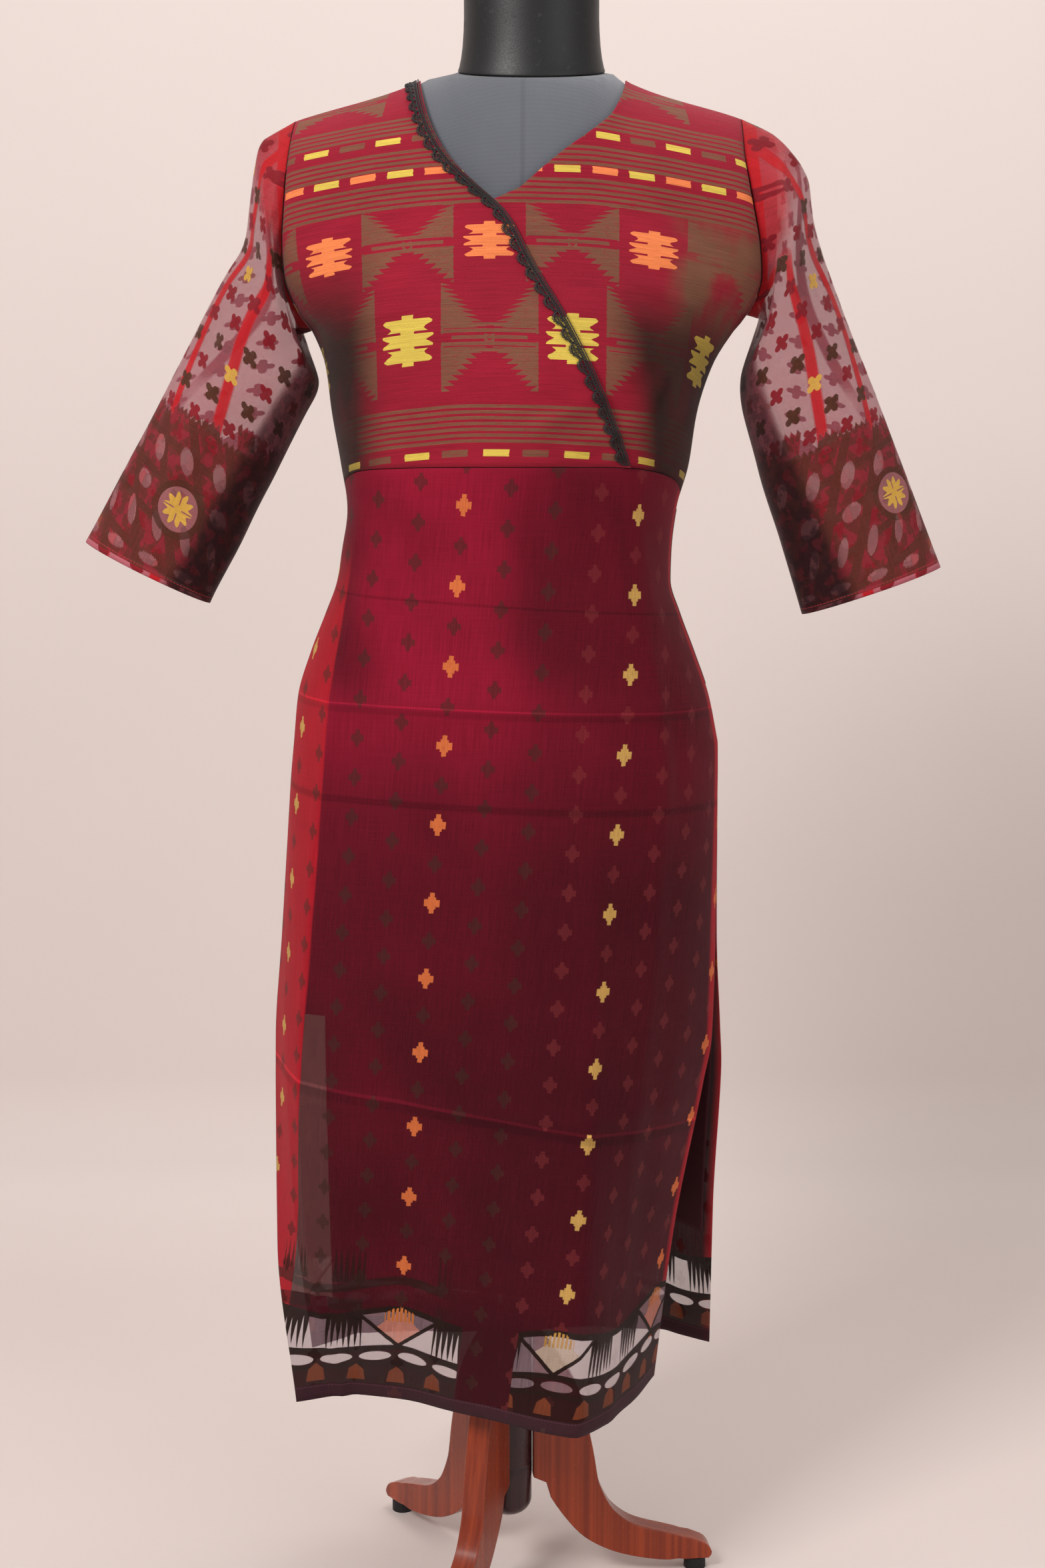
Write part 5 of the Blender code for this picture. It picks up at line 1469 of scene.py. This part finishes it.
def skirt_cloth_places(panel, rows):
    """Places on the skirt's cloth: across from its leaning first column of orange flowers, and height."""
    top_x, lean = FLOWER_COLUMNS[panel]
    result = []
    for row in rows:
        lengths = walked(row)
        start = top_x - lean * (FLOWER_TOP_Z - row[len(row) // 2][2])
        zero = 0.0
        for i, (a, b) in enumerate(zip(row, row[1:])):
            if a[0] <= start <= b[0]:
                zero = lengths[i] + (start - a[0]) / (b[0] - a[0]) * (lengths[i + 1] - lengths[i])
        result.append([
            (length - zero, point[2], lengths[-1] - length) for length, point in zip(lengths, row)
        ])
    return result


def moved_in(rows, distance_at):
    """Rows moved in along each row's own normal, by a distance that depends on the height."""
    result = []
    for row in rows:
        new_row = []
        for i, (x, y, z) in enumerate(row):
            before, after = row[max(i - 2, 0)], row[min(i + 2, len(row) - 1)]
            dx, dy = after[0] - before[0], after[1] - before[1]
            distance = distance_at(z) * (1.0 if y < FRONT_LIMIT_Y else -1.0) / math.hypot(dx, dy)
            new_row.append((x - dy * distance, y + dx * distance, z))
        result.append(new_row)
    return result


def lining_rows(panel, rows):
    """The skirt lining, made from the skirt's points moved in; narrower and shorter than the skirt."""
    first, last = LINING_FRONT if panel == "front" else LINING_BACK
    kept = [
        i for i, place in enumerate(skirt_places(panel))
        if first - LINING_SLACK <= place <= last + LINING_SLACK
    ]
    shorter = [
        [row[i] for i in kept] for r, row in enumerate(rows) if LINING_START < r / SKIRT_STEPS <= LINING_PART
    ]
    return moved_in(shorter, lambda z: CLOTH + SEAM + LINING_LOW_GAP * smooth_step(0.62, 0.4, z))


# Sleeves


RING_STEPS = 96           # points round a sleeve
STATION_STEPS = 12        # fine rings from one ring of the table to the next
SLEEVE_FOLD_WIDTH = 16.0  # degrees
SLEEVE_GAP = 1.4 * SEAM   # between a sleeve's head and the armhole
GATHER_DEPTH = 0.0007
SLEEVE_UNEVENNESS = 0.0016


def sleeve_stations(name):
    """The rings of a sleeve that its table gives, from the armhole to the cuff."""
    left = name == "sleeve_left"
    out = -1.0 if left else 1.0
    half = RING_STEPS // 2
    head = []
    for k in range(RING_STEPS):
        panel = "front" if k <= half else "back"
        level = 2.0 * (k if k <= half else RING_STEPS - k) / half
        x, y, z = plain_point(panel, 0.0 if left else LAST_PLACE[panel], level)
        head.append((x + out * SLEEVE_GAP, y, z))
    rings = [head]
    for number, row in enumerate(SLEEVES[name], start=1):
        outer_x, outer_z, inner_x, inner_z, middle_y, half_depth = row
        centre_x, centre_z = (outer_x + inner_x) / 2, (outer_z + inner_z) / 2
        reach_x, reach_z = (outer_x - inner_x) / 2, (outer_z - inner_z) / 2
        ring = []
        for k in range(RING_STEPS):
            degrees = 360.0 * k / RING_STEPS
            swell = 1.0
            for fold_degrees, first, last, depth in SLEEVE_FOLDS:
                strength = smooth_step(first, first + 1, number)
                strength *= 1 - smooth_step(last - 1, last + 1, number)
                away = (degrees - fold_degrees) / SLEEVE_FOLD_WIDTH
                swell += depth / half_depth * strength * math.exp(-away ** 2)
            side_way = math.cos(math.radians(degrees)) * swell
            deep = math.sin(math.radians(degrees)) * swell
            ring.append((
                centre_x + reach_x * side_way, middle_y - half_depth * deep, centre_z + reach_z * side_way,
            ))
        rings.append(ring)
    return rings


def between_stations(rings, station):
    """A ring part of the way between two stations, on smooth curves through them."""
    index = min(int(station), len(rings) - 2)
    t = station - index
    before, start, end, after = (
        rings[max(index - 1, 0)], rings[index], rings[index + 1], rings[min(index + 2, len(rings) - 1)]
    )
    weights = (
        0.5 * (-t**3 + 2 * t**2 - t), 0.5 * (3 * t**3 - 5 * t**2 + 2),
        0.5 * (-3 * t**3 + 4 * t**2 + t), 0.5 * (t**3 - t**2),
    )
    if index == 0:
        weights = (0.0, 1 - t, t, 0.0)
    return [
        tuple(sum(w * p[k] for w, p in zip(weights, points)) for k in range(3))
        for points in zip(before, start, end, after)
    ]


def sleeve_wrinkle(name, degrees, station):
    """How far a sleeve stands out at a point: creases, gathers at its head and a soft unevenness."""
    out = 0.0
    for d0, s0, d1, s1, width, depth in SLEEVE_CREASES[name]:
        t = (station - s0) / (s1 - s0)
        if -0.1 < t < 1.1:
            away = (degrees - d0 - (d1 - d0) * t + 180.0) % 360.0 - 180.0
            taper = smooth_step(-0.1, 0.25, t) * smooth_step(1.1, 0.7, t)
            out += depth * taper * math.exp(-(away / width) ** 2)
    upper = smooth_step(200.0, 130.0, min(degrees, 360.0 - degrees))
    gather = math.sin(math.radians(degrees) * 23.0 + 1.4 * math.sin(math.radians(degrees) * 5.0))
    out += GATHER_DEPTH * upper * gather * smooth_step(0.0, 0.25, station) * smooth_step(1.9, 0.6, station)
    around = math.radians(degrees)
    spot = Vector((math.cos(around) * 1.4, math.sin(around) * 1.4, station * 0.8 + len(name)))
    return out + SLEEVE_UNEVENNESS * noise.noise(spot) * smooth_step(0.0, 1.0, station)


def sleeve_rows(name):
    """Fine rings of a sleeve, and the places of their points on its cloth."""
    stations = sleeve_stations(name)
    last = len(stations) - 1
    rows = []
    for step in range(last * STATION_STEPS + 1):
        station = step / STATION_STEPS
        ring = between_stations(stations, station)
        centre = [sum(point[k] for point in ring) / RING_STEPS for k in range(3)]
        fade = smooth_step(0.0, 1.0, station) * smooth_step(last + 0.3, last - 0.3, station) + 0.1
        new_ring = []
        for k, point in enumerate(ring):
            reach = math.dist(point, centre)
            grow = 1 + min(1.0, fade) * sleeve_wrinkle(name, 360.0 * k / RING_STEPS, station) / reach
            new_ring.append(tuple(c + (p - c) * grow for p, c in zip(point, centre)))
        rows.append(new_ring)
    return rows, sleeve_places(rows)


def sleeve_places(rows):
    """Places on a sleeve's cloth: round it, up from the cuff and square to it, and down from its head."""
    middles = [Vector([sum(point[k] for point in ring) / RING_STEPS for k in range(3)]) for ring in rows]
    axis = (middles[4 * STATION_STEPS] - middles[-1]).normalized()
    heights = [0.0]
    for upper, lower in zip(rows[:0:-1], rows[-2::-1]):
        heights.append(heights[-1] + sum(math.dist(a, b) for a, b in zip(upper, lower)) / RING_STEPS)
    heights.reverse()
    places = []
    for number, ring in enumerate(rows):
        flat = [Vector(point) - axis * (Vector(point) - middles[-1]).dot(axis) for point in ring]
        lengths = [0.0]
        for k in range(RING_STEPS):
            lengths.append(lengths[-1] + (flat[(k + 1) % RING_STEPS] - flat[k]).length)
        squared = smooth_step(len(rows) - 1, len(rows) - 1 - 2 * STATION_STEPS, number)
        row = []
        for k, length in enumerate(lengths):
            up = (Vector(ring[k % RING_STEPS]) - middles[-1]).dot(axis)
            up = heights[number] + (up - heights[number]) * squared
            row.append((length, up, heights[0] - heights[number]))
        places.append(row)
    return places


# Crochet lace


def point_from_edge(row, distance):
    """Point on a panel's row at a distance in from its last point."""
    passed = 0.0
    for a, b in zip(row[::-1], row[-2::-1]):
        length = math.dist(a, b)
        if passed + length >= distance:
            return Vector(a).lerp(Vector(b), (distance - passed) / length)
        passed += length
    return Vector(row[0])


LACE_ENDS = (0.0016, 0.0022)  # how far the lace stops short of the edge's top and foot


def lace_ground(panel_rows):
    """The surface under the lace: along the wrap edge, and in from it; gives points and normals."""
    lengths = walked([row[-1] for row in panel_rows])
    top, foot = LACE_ENDS[0], lengths[-1] - LACE_ENDS[1]

    def place(share, inward, lift):
        want = top + (foot - top) * min(1.0, max(0.0, share))
        index = min(bisect.bisect_right(lengths, want) - 1, len(lengths) - 2)
        t = (want - lengths[index]) / (lengths[index + 1] - lengths[index])
        first, last = max(index - 2, 0), min(index + 3, len(panel_rows) - 1)

        def on_cloth(distance):
            upper = point_from_edge(panel_rows[index], distance)
            return upper.lerp(point_from_edge(panel_rows[index + 1], distance), t)

        point = on_cloth(inward)
        down = point_from_edge(panel_rows[last], inward) - point_from_edge(panel_rows[first], inward)
        normal = down.cross(on_cloth(inward + 0.004) - on_cloth(max(inward - 0.002, 0.0))).normalized()
        if normal.y > 0:
            normal.negate()
        return point + normal * lift

    return place


def thread_tube(work, points, radius, sides=5, looped=False):
    """A round thread through points."""
    rings = []
    count = len(points)
    for i, point in enumerate(points):
        before = points[(i - 1) % count] if looped else points[max(i - 1, 0)]
        after = points[(i + 1) % count] if looped else points[min(i + 1, count - 1)]
        way = (after - before).normalized()
        side = way.cross(Vector((0.0, 1.0, 0.0))).normalized()
        up = side.cross(way)
        rings.append([
            work.verts.new(point + radius * (side * math.cos(a) + up * math.sin(a)))
            for a in turns(sides)
        ])
    pairs = list(zip(rings, rings[1:])) + ([(rings[-1], rings[0])] if looped else [])
    for first, second in pairs:
        for k in range(sides):
            work.faces.new((first[k], first[(k + 1) % sides], second[(k + 1) % sides], second[k]))
    if not looped:
        work.faces.new(rings[0][::-1])
        work.faces.new(rings[-1])


# Crochet lace; distances run in from the panel's edge, and depths from the last rail
LACE_RAILS = (0.0012, 0.003, 0.0056)
LACE_TWIST = (0.0043, 0.0012)  # middle and swing of the two threads crossed between the rails
LACE_OFF = 0.0015         # from the cloth to a thread's middle
SCALLOP_DEPTH = 0.0062
INNER_DEPTH = 0.0034      # the smaller arc inside a scallop
SPOKE_DEPTH = 0.006
PICOT_DEPTH = 0.0066      # middles of the small loops on a scallop's rim
PICOT_RADIUS = 0.00105
SPOKE_SHARES = (0.22, 0.36, 0.5, 0.64, 0.78)  # where they stand along a scallop
PICOT_SHARES = (0.1, 0.26, 0.42, 0.58, 0.74, 0.9)

# Radius of its threads
RAIL_THREAD = 0.00052
TWIST_THREAD = 0.00034
SCALLOP_THREAD = 0.00055
INNER_THREAD = 0.00042
FINE_THREAD = 0.00036


def make_lace(panel_rows, material):
    """Crochet lace: an edge band of crossed threads, and a fan of loops on each scallop."""
    place = lace_ground(panel_rows)
    work = bmesh.new()
    count = LACE_SCALLOPS
    fine = 7 * count
    for inward in LACE_RAILS:
        rail = [place(i / fine, inward, LACE_OFF) for i in range(fine + 1)]
        thread_tube(work, rail, RAIL_THREAD)
    steps = 12 * count
    for phase in (0.0, math.pi):
        middle, swing = LACE_TWIST
        twist = [
            place(i / steps, middle + swing * math.cos(math.pi * i / 2 + phase), LACE_OFF * 1.1)
            for i in range(steps + 1)
        ]
        thread_tube(work, twist, TWIST_THREAD, 4)
    for number in range(count):
        start, width = number / count, 1.0 / count

        def arc(share, depth):
            swell = math.sin(math.pi * share) ** 0.7
            return place(start + width * share, LACE_RAILS[-1] + depth * swell, LACE_OFF)

        thread_tube(work, [arc(k / 12, SCALLOP_DEPTH) for k in range(13)], SCALLOP_THREAD)
        inner = [arc(0.18 + 0.64 * k / 8, INNER_DEPTH) for k in range(9)]
        thread_tube(work, inner, INNER_THREAD, 4)
        for share in SPOKE_SHARES:
            root = place(start + width * (0.5 + (share - 0.5) * 0.45), LACE_RAILS[-1], 0.0016)
            tip = arc(share, SPOKE_DEPTH)
            thread_tube(work, [root, (root + tip) / 2, tip], FINE_THREAD, 4)
        for share in PICOT_SHARES:
            middle = arc(share, PICOT_DEPTH)
            loop = [
                middle + Vector((math.cos(a), 0.0, math.sin(a))) * PICOT_RADIUS for a in turns(6)
            ]
            thread_tube(work, loop, FINE_THREAD, 4, looped=True)
    return new_object("crochet_lace", finished(work, "crochet_lace"), material, "lace", "lace_trim")


# Form and stand


def form_ring(z, clearance, front_y, back_y):
    """A smooth closed ring of the lower form, starting at its left side and passing the front."""
    left, right = sides_at(max(z, SLIT_Z))
    left, right = left + clearance, right - clearance
    middle, half = (left + right) / 2, (right - left) / 2
    squareness = 2 / FORM_SQUARENESS
    ring = []
    for k, angle in enumerate(turns(FORM_COLUMNS)):
        side_way = math.copysign(abs(math.cos(angle)) ** squareness, -math.cos(angle))
        deep = abs(math.sin(angle)) ** squareness
        ring.append((middle + half * side_way, (front_y if k <= FORM_COLUMNS / 2 else back_y) * deep, z))
    return ring


def lower_form_rings(top, foot):
    heights = [top - k * (top - foot) / FORM_STEPS for k in range(FORM_STEPS + 1)]
    return [form_ring(z, *(curve_value(FORM_LOWER, z, column) for column in (1, 2, 3))) for z in heights]


def form_upper_ring(level):
    """A ring of the form's chest or shoulders, inside the bodice and seated against it on top."""
    angle = level * math.pi / 2
    half_count = FORM_COLUMNS // 2
    ring = []
    for k in range(FORM_COLUMNS):
        front = k <= half_count
        panel = "front" if front else "back"
        snug, clearance = (FORM_SNUG, FORM_CLEARANCE) if front else (FORM_BACK_SNUG, FORM_BACK_CLEARANCE)
        share = k / half_count if front else (FORM_COLUMNS - k) / half_count
        z = CHEST_Z + (CHEST_Z - underarm(share)) * min(0.0, math.cos(angle))
        points = section(panel, z)
        x, y = along(points, share * LAST_PLACE[panel])
        part = (x - points[0][0]) / (points[-1][0] - points[0][0])
        x = FORM_LEFT_X + (FORM_RIGHT_X - FORM_LEFT_X) * part
        if level < 1:
            z += (shoulder_z(x) - snug - CHEST_Z) * math.cos(angle)
            y *= math.sin(angle)
        y = SIDE[panel] * max(0.0, abs(y) - clearance * math.sin(angle))
        ring.append((x, y, min(z, NECK_BASE_Z + NECK_BASE_TILT * y)))
    return ring


def ring_places(rings):
    """Places on the form's jersey: across from the front's middle line, and height."""
    result = []
    for ring in rings:
        lengths = walked(ring + ring[:1])
        front = range(len(ring) // 2)
        middle = lengths[min(front, key=lambda k: abs(ring[k][0] - SEAM_X))]
        result.append([(length - middle, ring[0][2]) for length in lengths])
    return result


FORM_COLUMNS = 72         # points round the form
FORM_STEPS = 24           # rings of each lower part of it
FORM_LEVELS = [0.12 + 0.08 * k for k in range(11)] + [1.0, 1.2, 1.4, 1.6]


def make_form(grey, black):
    bust = [form_upper_ring(level) for level in FORM_LEVELS] + lower_form_rings(FORM_TOP_Z, FORM_SPLIT_Z)
    closed_body("form_bust_jersey", bust, grey, "form_jersey", "form_bust", places=ring_places(bust))
    hips = lower_form_rings(FORM_SPLIT_Z - SEAM, FORM_BOTTOM_Z)
    closed_body("form_hips_jersey", hips, black, "form_black", "form_hips", places=ring_places(hips))


# Neck block: share of its height, half width, half depth; past 1 it is the domed top
NECK_RINGS = (
    (0.0, 0.0608, 0.054), (0.02, 0.061, 0.0542), (0.06, 0.06, 0.0532), (0.16, 0.0585, 0.052),
    (0.3, 0.0572, 0.051), (0.46, 0.0564, 0.0504), (0.62, 0.056, 0.05), (0.82, 0.056, 0.05),
    (0.9, 0.0558, 0.0498), (0.95, 0.0546, 0.0486), (0.98, 0.0522, 0.0462), (1.0, 0.047, 0.0412),
    (1.02, 0.037, 0.032), (1.035, 0.023, 0.0195), (1.04, 0.008, 0.007),
)

# Arm plates: their seat and tip across, and the height of their middle
ARM_PLATES = {"left": (FORM_LEFT_X - SEAM, -0.1985, 1.196), "right": (FORM_RIGHT_X + SEAM, 0.219, 1.202)}
PLATE_HALF_DEPTH = 0.033
PLATE_HALF_HEIGHT = 0.056

# Rounding of an arm plate: share of its thickness, share of its size
PLATE_RINGS = (
    (0.0, 0.985), (0.04, 1.0), (0.3, 1.0), (0.55, 0.995), (0.74, 0.965), (0.88, 0.9), (0.96, 0.8),
    (1.0, 0.66),
)


def make_neck(material):
    """The neck block, an oval stub on the tilted plane on top of the form, with a domed top."""
    rings = []
    for height, half_x, half_y in NECK_RINGS:
        ring = []
        for angle in turns(64):
            x, y = NECK_X + half_x * math.cos(angle), half_y * math.sin(angle)
            base = NECK_BASE_Z + SEAM + NECK_BASE_TILT * y
            ring.append((x, y, base + (NECK_TOP_Z - base) * height))
        rings.append(ring[::-1])
    closed_body("form_neck_block", rings, material, "form_black", "form_neck")


def make_arm_plates(material):
    """Rounded oval plates that close the form's armholes."""
    for name, (seat_x, tip_x, centre_z) in ARM_PLATES.items():
        rings = []
        for share, size in PLATE_RINGS:
            x = seat_x + (tip_x - seat_x) * share
            rings.append([
                (x, PLATE_HALF_DEPTH * size * math.cos(a), centre_z + PLATE_HALF_HEIGHT * size * math.sin(a))
                for a in turns(48)
            ])
        node = "form_arm_plate_" + name
        closed_body(node + "_cap", rings, material, "form_black", node)


HUB_GROOVES = (0.248, 0.112)
HUB_TIP = 0.0005          # radius at the hub's two ends
HUB_FOOT_ROUND = 0.016    # height of the rounded foot


def make_hub(material):
    """The turned hub, with a bead, shallow grooves and a rounded foot."""
    profile = [
        (HUB_TIP, HUB_TOP_Z), (0.015, HUB_TOP_Z), (0.0186, HUB_TOP_Z - 0.0016),
        (HUB_RADIUS, HUB_TOP_Z - 0.006),
    ]
    for z in HUB_GROOVES:
        profile += [(HUB_RADIUS, z + 0.0012), (HUB_RADIUS - 0.0007, z), (HUB_RADIUS, z - 0.0012)]
    profile += [(HUB_RADIUS, 0.09)]
    profile += [
        (HUB_RADIUS * math.cos(a), HUB_BOTTOM_Z + HUB_FOOT_ROUND * (1 - math.sin(a)))
        for a in (math.radians(7.5 * k) for k in range(12))
    ]
    profile += [(HUB_TIP, HUB_BOTTOM_Z)]
    rings = [[(POLE_X + r * math.cos(a), POLE_Y + r * math.sin(a), z) for a in turns(64)] for r, z in profile]
    closed_body("stand_hub_turned", rings, material, "hub_wood", "stand_hub")


LEG_STEPS = 44            # steps along a leg's curve
LEG_ROUNDING = 0.0028


def leg_outline():
    """Closed outline of a leg in its own plane, with a rolled foot that ends flat above its pad."""
    first, last = LEG_CURVE[0][0], LEG_CURVE[-1][0]
    reaches = [first + (last - first) * i / LEG_STEPS for i in range(LEG_STEPS + 1)]
    centre = [(r, curve_value(LEG_CURVE, r, 1), curve_value(LEG_CURVE, r, 2)) for r in reaches]
    upper, lower = [], []
    for i, (r, z, width) in enumerate(centre):
        before, after = centre[max(i - 1, 0)], centre[min(i + 1, len(centre) - 1)]
        dr, dz = after[0] - before[0], after[1] - before[1]
        length = math.hypot(dr, dz)
        upper.append((r - dz / length * width / 2, z + dr / length * width / 2))
        lower.append((r + dz / length * width / 2, z - dr / length * width / 2))
    hub_side = HUB_RADIUS + SEAM
    upper = [(hub_side, 0.245)] + [p for p in upper[1:-1] if hub_side + 0.001 < p[0] < 0.155]
    lower = [(hub_side, 0.0985), (0.0331, 0.093)] + [p for p in lower if 0.0345 < p[0] < 0.15]
    foot_floor = PAD_HEIGHT + SEAM
    toe = [
        (0.16, 0.0335), (0.168, 0.0317), (0.174, 0.029), (0.1792, 0.0268), (0.1825, 0.0245),
        (0.1852, 0.0212), (0.1868, 0.0175), (0.1862, 0.0142), (0.184, foot_floor), (0.162, foot_floor),
        (0.156, 0.0125),
    ]
    return upper + toe + lower[::-1]


def make_legs(material):
    half = LEG_THICKNESS / 2
    outline = leg_outline()
    places = [[(y, length) for length in walked(outline + outline[:1])] for y in (-half, half)]
    for name, degrees in LEG_ANGLES.items():
        cos, sin = math.cos(math.radians(degrees)), math.sin(math.radians(degrees))
        rings = [
            [(POLE_X + r * cos - y * sin, POLE_Y + r * sin + y * cos, z) for r, z in outline]
            for y in (-half, half)
        ]
        node = "stand_leg_" + name
        leg = closed_body(node + "_curved", rings, material, "leg_wood", node, places=places)
        bevel = leg.modifiers.new("rounded edges", "BEVEL")
        bevel.width = LEG_ROUNDING
        bevel.segments = 4
        bevel.limit_method = "ANGLE"
        bevel.angle_limit = math.radians(50)
        leg.data.set_sharp_from_angle(angle=math.radians(75))


# Putting it together


def make_body_cloth():
    """The three pieces of the bodice and the lace on the upper panel's edge."""
    cloth = figured_cloth("bodice_figured_cotton")
    over, under = (
        [[(place, level) for place in front_places(level)[panel]] for level in BODICE_LEVELS]
        for panel in (0, 1)
    )
    over_rows = [bodice_points("front", row) for row in over]
    over_piece = cloth_piece(
        "over_panel_cloth", over_rows, body_places("front", over, PATTERN_DROOP),
        cloth, "bodice_cloth", "front_over_panel",
    )
    lace = make_lace(over_rows, crochet_thread("black_crochet_thread"))
    under_piece = cloth_piece(
        "under_panel_cloth", [under_panel_points(row) for row in under],
        body_places("front", under, PATTERN_DROOP), cloth, "bodice_cloth", "front_under_panel",
    )
    back = back_rows()
    back_piece = cloth_piece(
        "bodice_back_cloth", [bodice_points("back", row) for row in back], body_places("back", back),
        cloth, "bodice_cloth", "bodice_back", flip=True,
    )
    return over_piece, lace, under_piece, back_piece


# Left edge of the strip beside the skirt's slit that is painted bright red for the light shining through the
# unlined cloth, and 1 where the painted highlight and shade of the pressed lines and the pale window show
STRIPS = {"front": (-0.104, 1.0), "back": (-0.15, 0.0)}
FINE_WALL = 0.0006        # wall of the skirt's cloth
SLEEVE_WALL = 0.0005


def make_skirt():
    lining = lining_satin("skirt_lining_satin")
    made = {}
    for panel, strip in STRIPS.items():
        rows = skirt_rows(panel)
        inner = lining_rows(panel, rows)
        cloth = sheer_skirt_cloth("skirt_" + panel + "_sheer_cotton", *strip)
        for kind, points, material in (("skirt", rows, cloth), ("lining", inner, lining)):
            name = kind + "_" + panel
            made[name] = cloth_piece(
                name + "_cloth", points, skirt_cloth_places(panel, points), material, kind + "_cloth", name,
                flip=panel == "back", wall=FINE_WALL,
            )
    return made


def make_sleeves():
    made = {}
    for name in SLEEVES:
        cloth = sheer_sleeve_cloth(name + "_sheer_cotton", LARGE_FLOWERS[name])
        rows, places = sleeve_rows(name)
        made[name] = cloth_piece(
            name + "_cloth", rows, places, cloth, "sleeve_cloth", name, closed=True,
            flip=name == "sleeve_right", wall=SLEEVE_WALL,
        )
    return made


def make_stage():
    """A plain pale floor that runs up into a plain pale wall, which is clear when seen from behind."""
    profile = [(-3.0, 0.0), (0.6, 0.0), (0.75, 0.004), (0.88, 0.03), (0.97, 0.09), (1.0, 0.2), (1.0, 3.6)]
    work = bmesh.new()
    rows = [[work.verts.new((x, y, z)) for x in (-4.0, 4.0)] for y, z in profile]
    for near, far in zip(rows, rows[1:]):
        work.faces.new((near[0], near[1], far[1], far[0]))
    mesh = finished(work, "pale_floor_and_wall")
    mesh.shade_smooth()
    material, tree, shader = new_material("pale_paint", 0.85, 0.2)
    colour = dyed((0.72, 0.64, 0.61), (0.76, 0.68, 0.65), speckle(body_place(tree), 2.0, 2.0))
    behind = Field(added(tree, "NewGeometry").outputs["Backfacing"])
    set_inputs(shader, Base_Color=colour, Alpha=behind.inverted())
    mesh.materials.append(material)
    stage = bpy.data.objects.new("pale_floor_and_wall", mesh)
    bpy.context.scene.collection.objects.link(stage)


# Lights: name, place, target, size, watts, colour
LIGHTS = (
    ("key_light", (-1.5, -2.0, 2.6), (0.0, 0.0, 0.85), (0.9, 0.9), 62.0, (1.0, 0.97, 0.94)),
    ("fill_light", (1.8, -1.9, 1.5), (0.0, 0.0, 0.8), (1.6, 2.0), 16.0, (1.0, 0.98, 0.97)),
    ("back_light", (0.3, 0.7, 2.9), (0.0, 0.6, 0.6), (2.2, 0.8), 26.0, (1.0, 0.98, 0.96)),
)


def make_light(name, place, target, size, watts, colour):
    light = bpy.data.lights.new(name, "AREA")
    light.shape = "RECTANGLE"
    light.size, light.size_y = size
    light.energy = watts
    light.color = colour
    lamp = bpy.data.objects.new(name, light)
    lamp.location = place
    lamp.rotation_euler = (Vector(target) - Vector(place)).to_track_quat("-Z", "Y").to_euler()
    bpy.context.scene.collection.objects.link(lamp)


# Camera: focal length and picture width in pixels, place, and how far it looks down, in degrees
FOCAL_PIXELS = 3500
PICTURE_WIDTH = 1568
CAMERA_PLACE = (0.008, -2.0, 1.02)
CAMERA_PITCH = 8.178
SENSOR = 36.0


def make_camera():
    camera = bpy.data.cameras.new("camera")
    camera.sensor_fit = "HORIZONTAL"
    camera.sensor_width = SENSOR
    camera.lens = SENSOR * FOCAL_PIXELS / PICTURE_WIDTH
    holder = bpy.data.objects.new("camera", camera)
    holder.location = CAMERA_PLACE
    holder.rotation_euler = (math.radians(90 - CAMERA_PITCH), 0.0, 0.0)
    bpy.context.scene.collection.objects.link(holder)
    bpy.context.scene.camera = holder


ROOM_COLOUR = (1.0, 0.96, 0.94, 1.0)
ROOM_STRENGTH = 0.42


def make_studio():
    bpy.context.scene.view_settings.view_transform = "Standard"
    make_stage()
    for light in LIGHTS:
        make_light(*light)
    world = bpy.data.worlds.new("soft_room")
    world.use_nodes = True
    background = world.node_tree.nodes["Background"]
    background.inputs["Color"].default_value = ROOM_COLOUR
    background.inputs["Strength"].default_value = ROOM_STRENGTH
    bpy.context.scene.world = world


def declare_sheets(body, skirt, sleeves):
    """Gathers each piece of cloth with the pieces it rests on and those that go with it."""
    over_piece, lace, under_piece, back_piece = body
    pieces = {
        "over_panel": (over_piece, ["form_bust_jersey"], [lace]),
        "under_panel": (under_piece, ["form_bust_jersey"], []),
        "bodice_back": (back_piece, ["form_bust_jersey"], []),
    }
    for name, carrier in (
        ("skirt_front", over_piece), ("skirt_back", back_piece), ("lining_front", over_piece),
        ("lining_back", back_piece), ("sleeve_left", over_piece), ("sleeve_right", under_piece),
    ):
        pieces[name] = ((skirt | sleeves)[name], [carrier.name], [])
    for name, (piece, rests_on, with_pieces) in pieces.items():
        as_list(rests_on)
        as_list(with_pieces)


def main():
    make_camera()
    body = make_body_cloth()
    skirt = make_skirt()
    sleeves = make_sleeves()
    grey, black = (0.11, 0.118, 0.14), (0.012, 0.012, 0.014)
    make_form(jersey("grey_jersey", grey, 0.25), jersey("black_jersey", black, 0.1))
    make_neck(smooth_black("neck_covering", 0.46))
    make_arm_plates(smooth_black("plate_covering", 0.55))
    make_hub(lacquered_wood("hub_dark_wood", (0.024, 0.007, 0.009), (0.042, 0.012, 0.014), True))
    make_legs(lacquered_wood("leg_red_wood", (0.19, 0.022, 0.006), (0.33, 0.046, 0.011), False))
    pole = polished_pole("pole_steel")
    pad = smooth_black("pad_rubber", 0.7, 0.2)
    for node in frame["nodes"]:
        if node.startswith("foot_pad_") or node == "stand_pole":
            solid = bpy.data.objects[node]
            for place in solid.material_slots:
                place.material = pole if node == "stand_pole" else pad
    make_studio()
    declare_sheets(body, skirt, sleeves)


main()
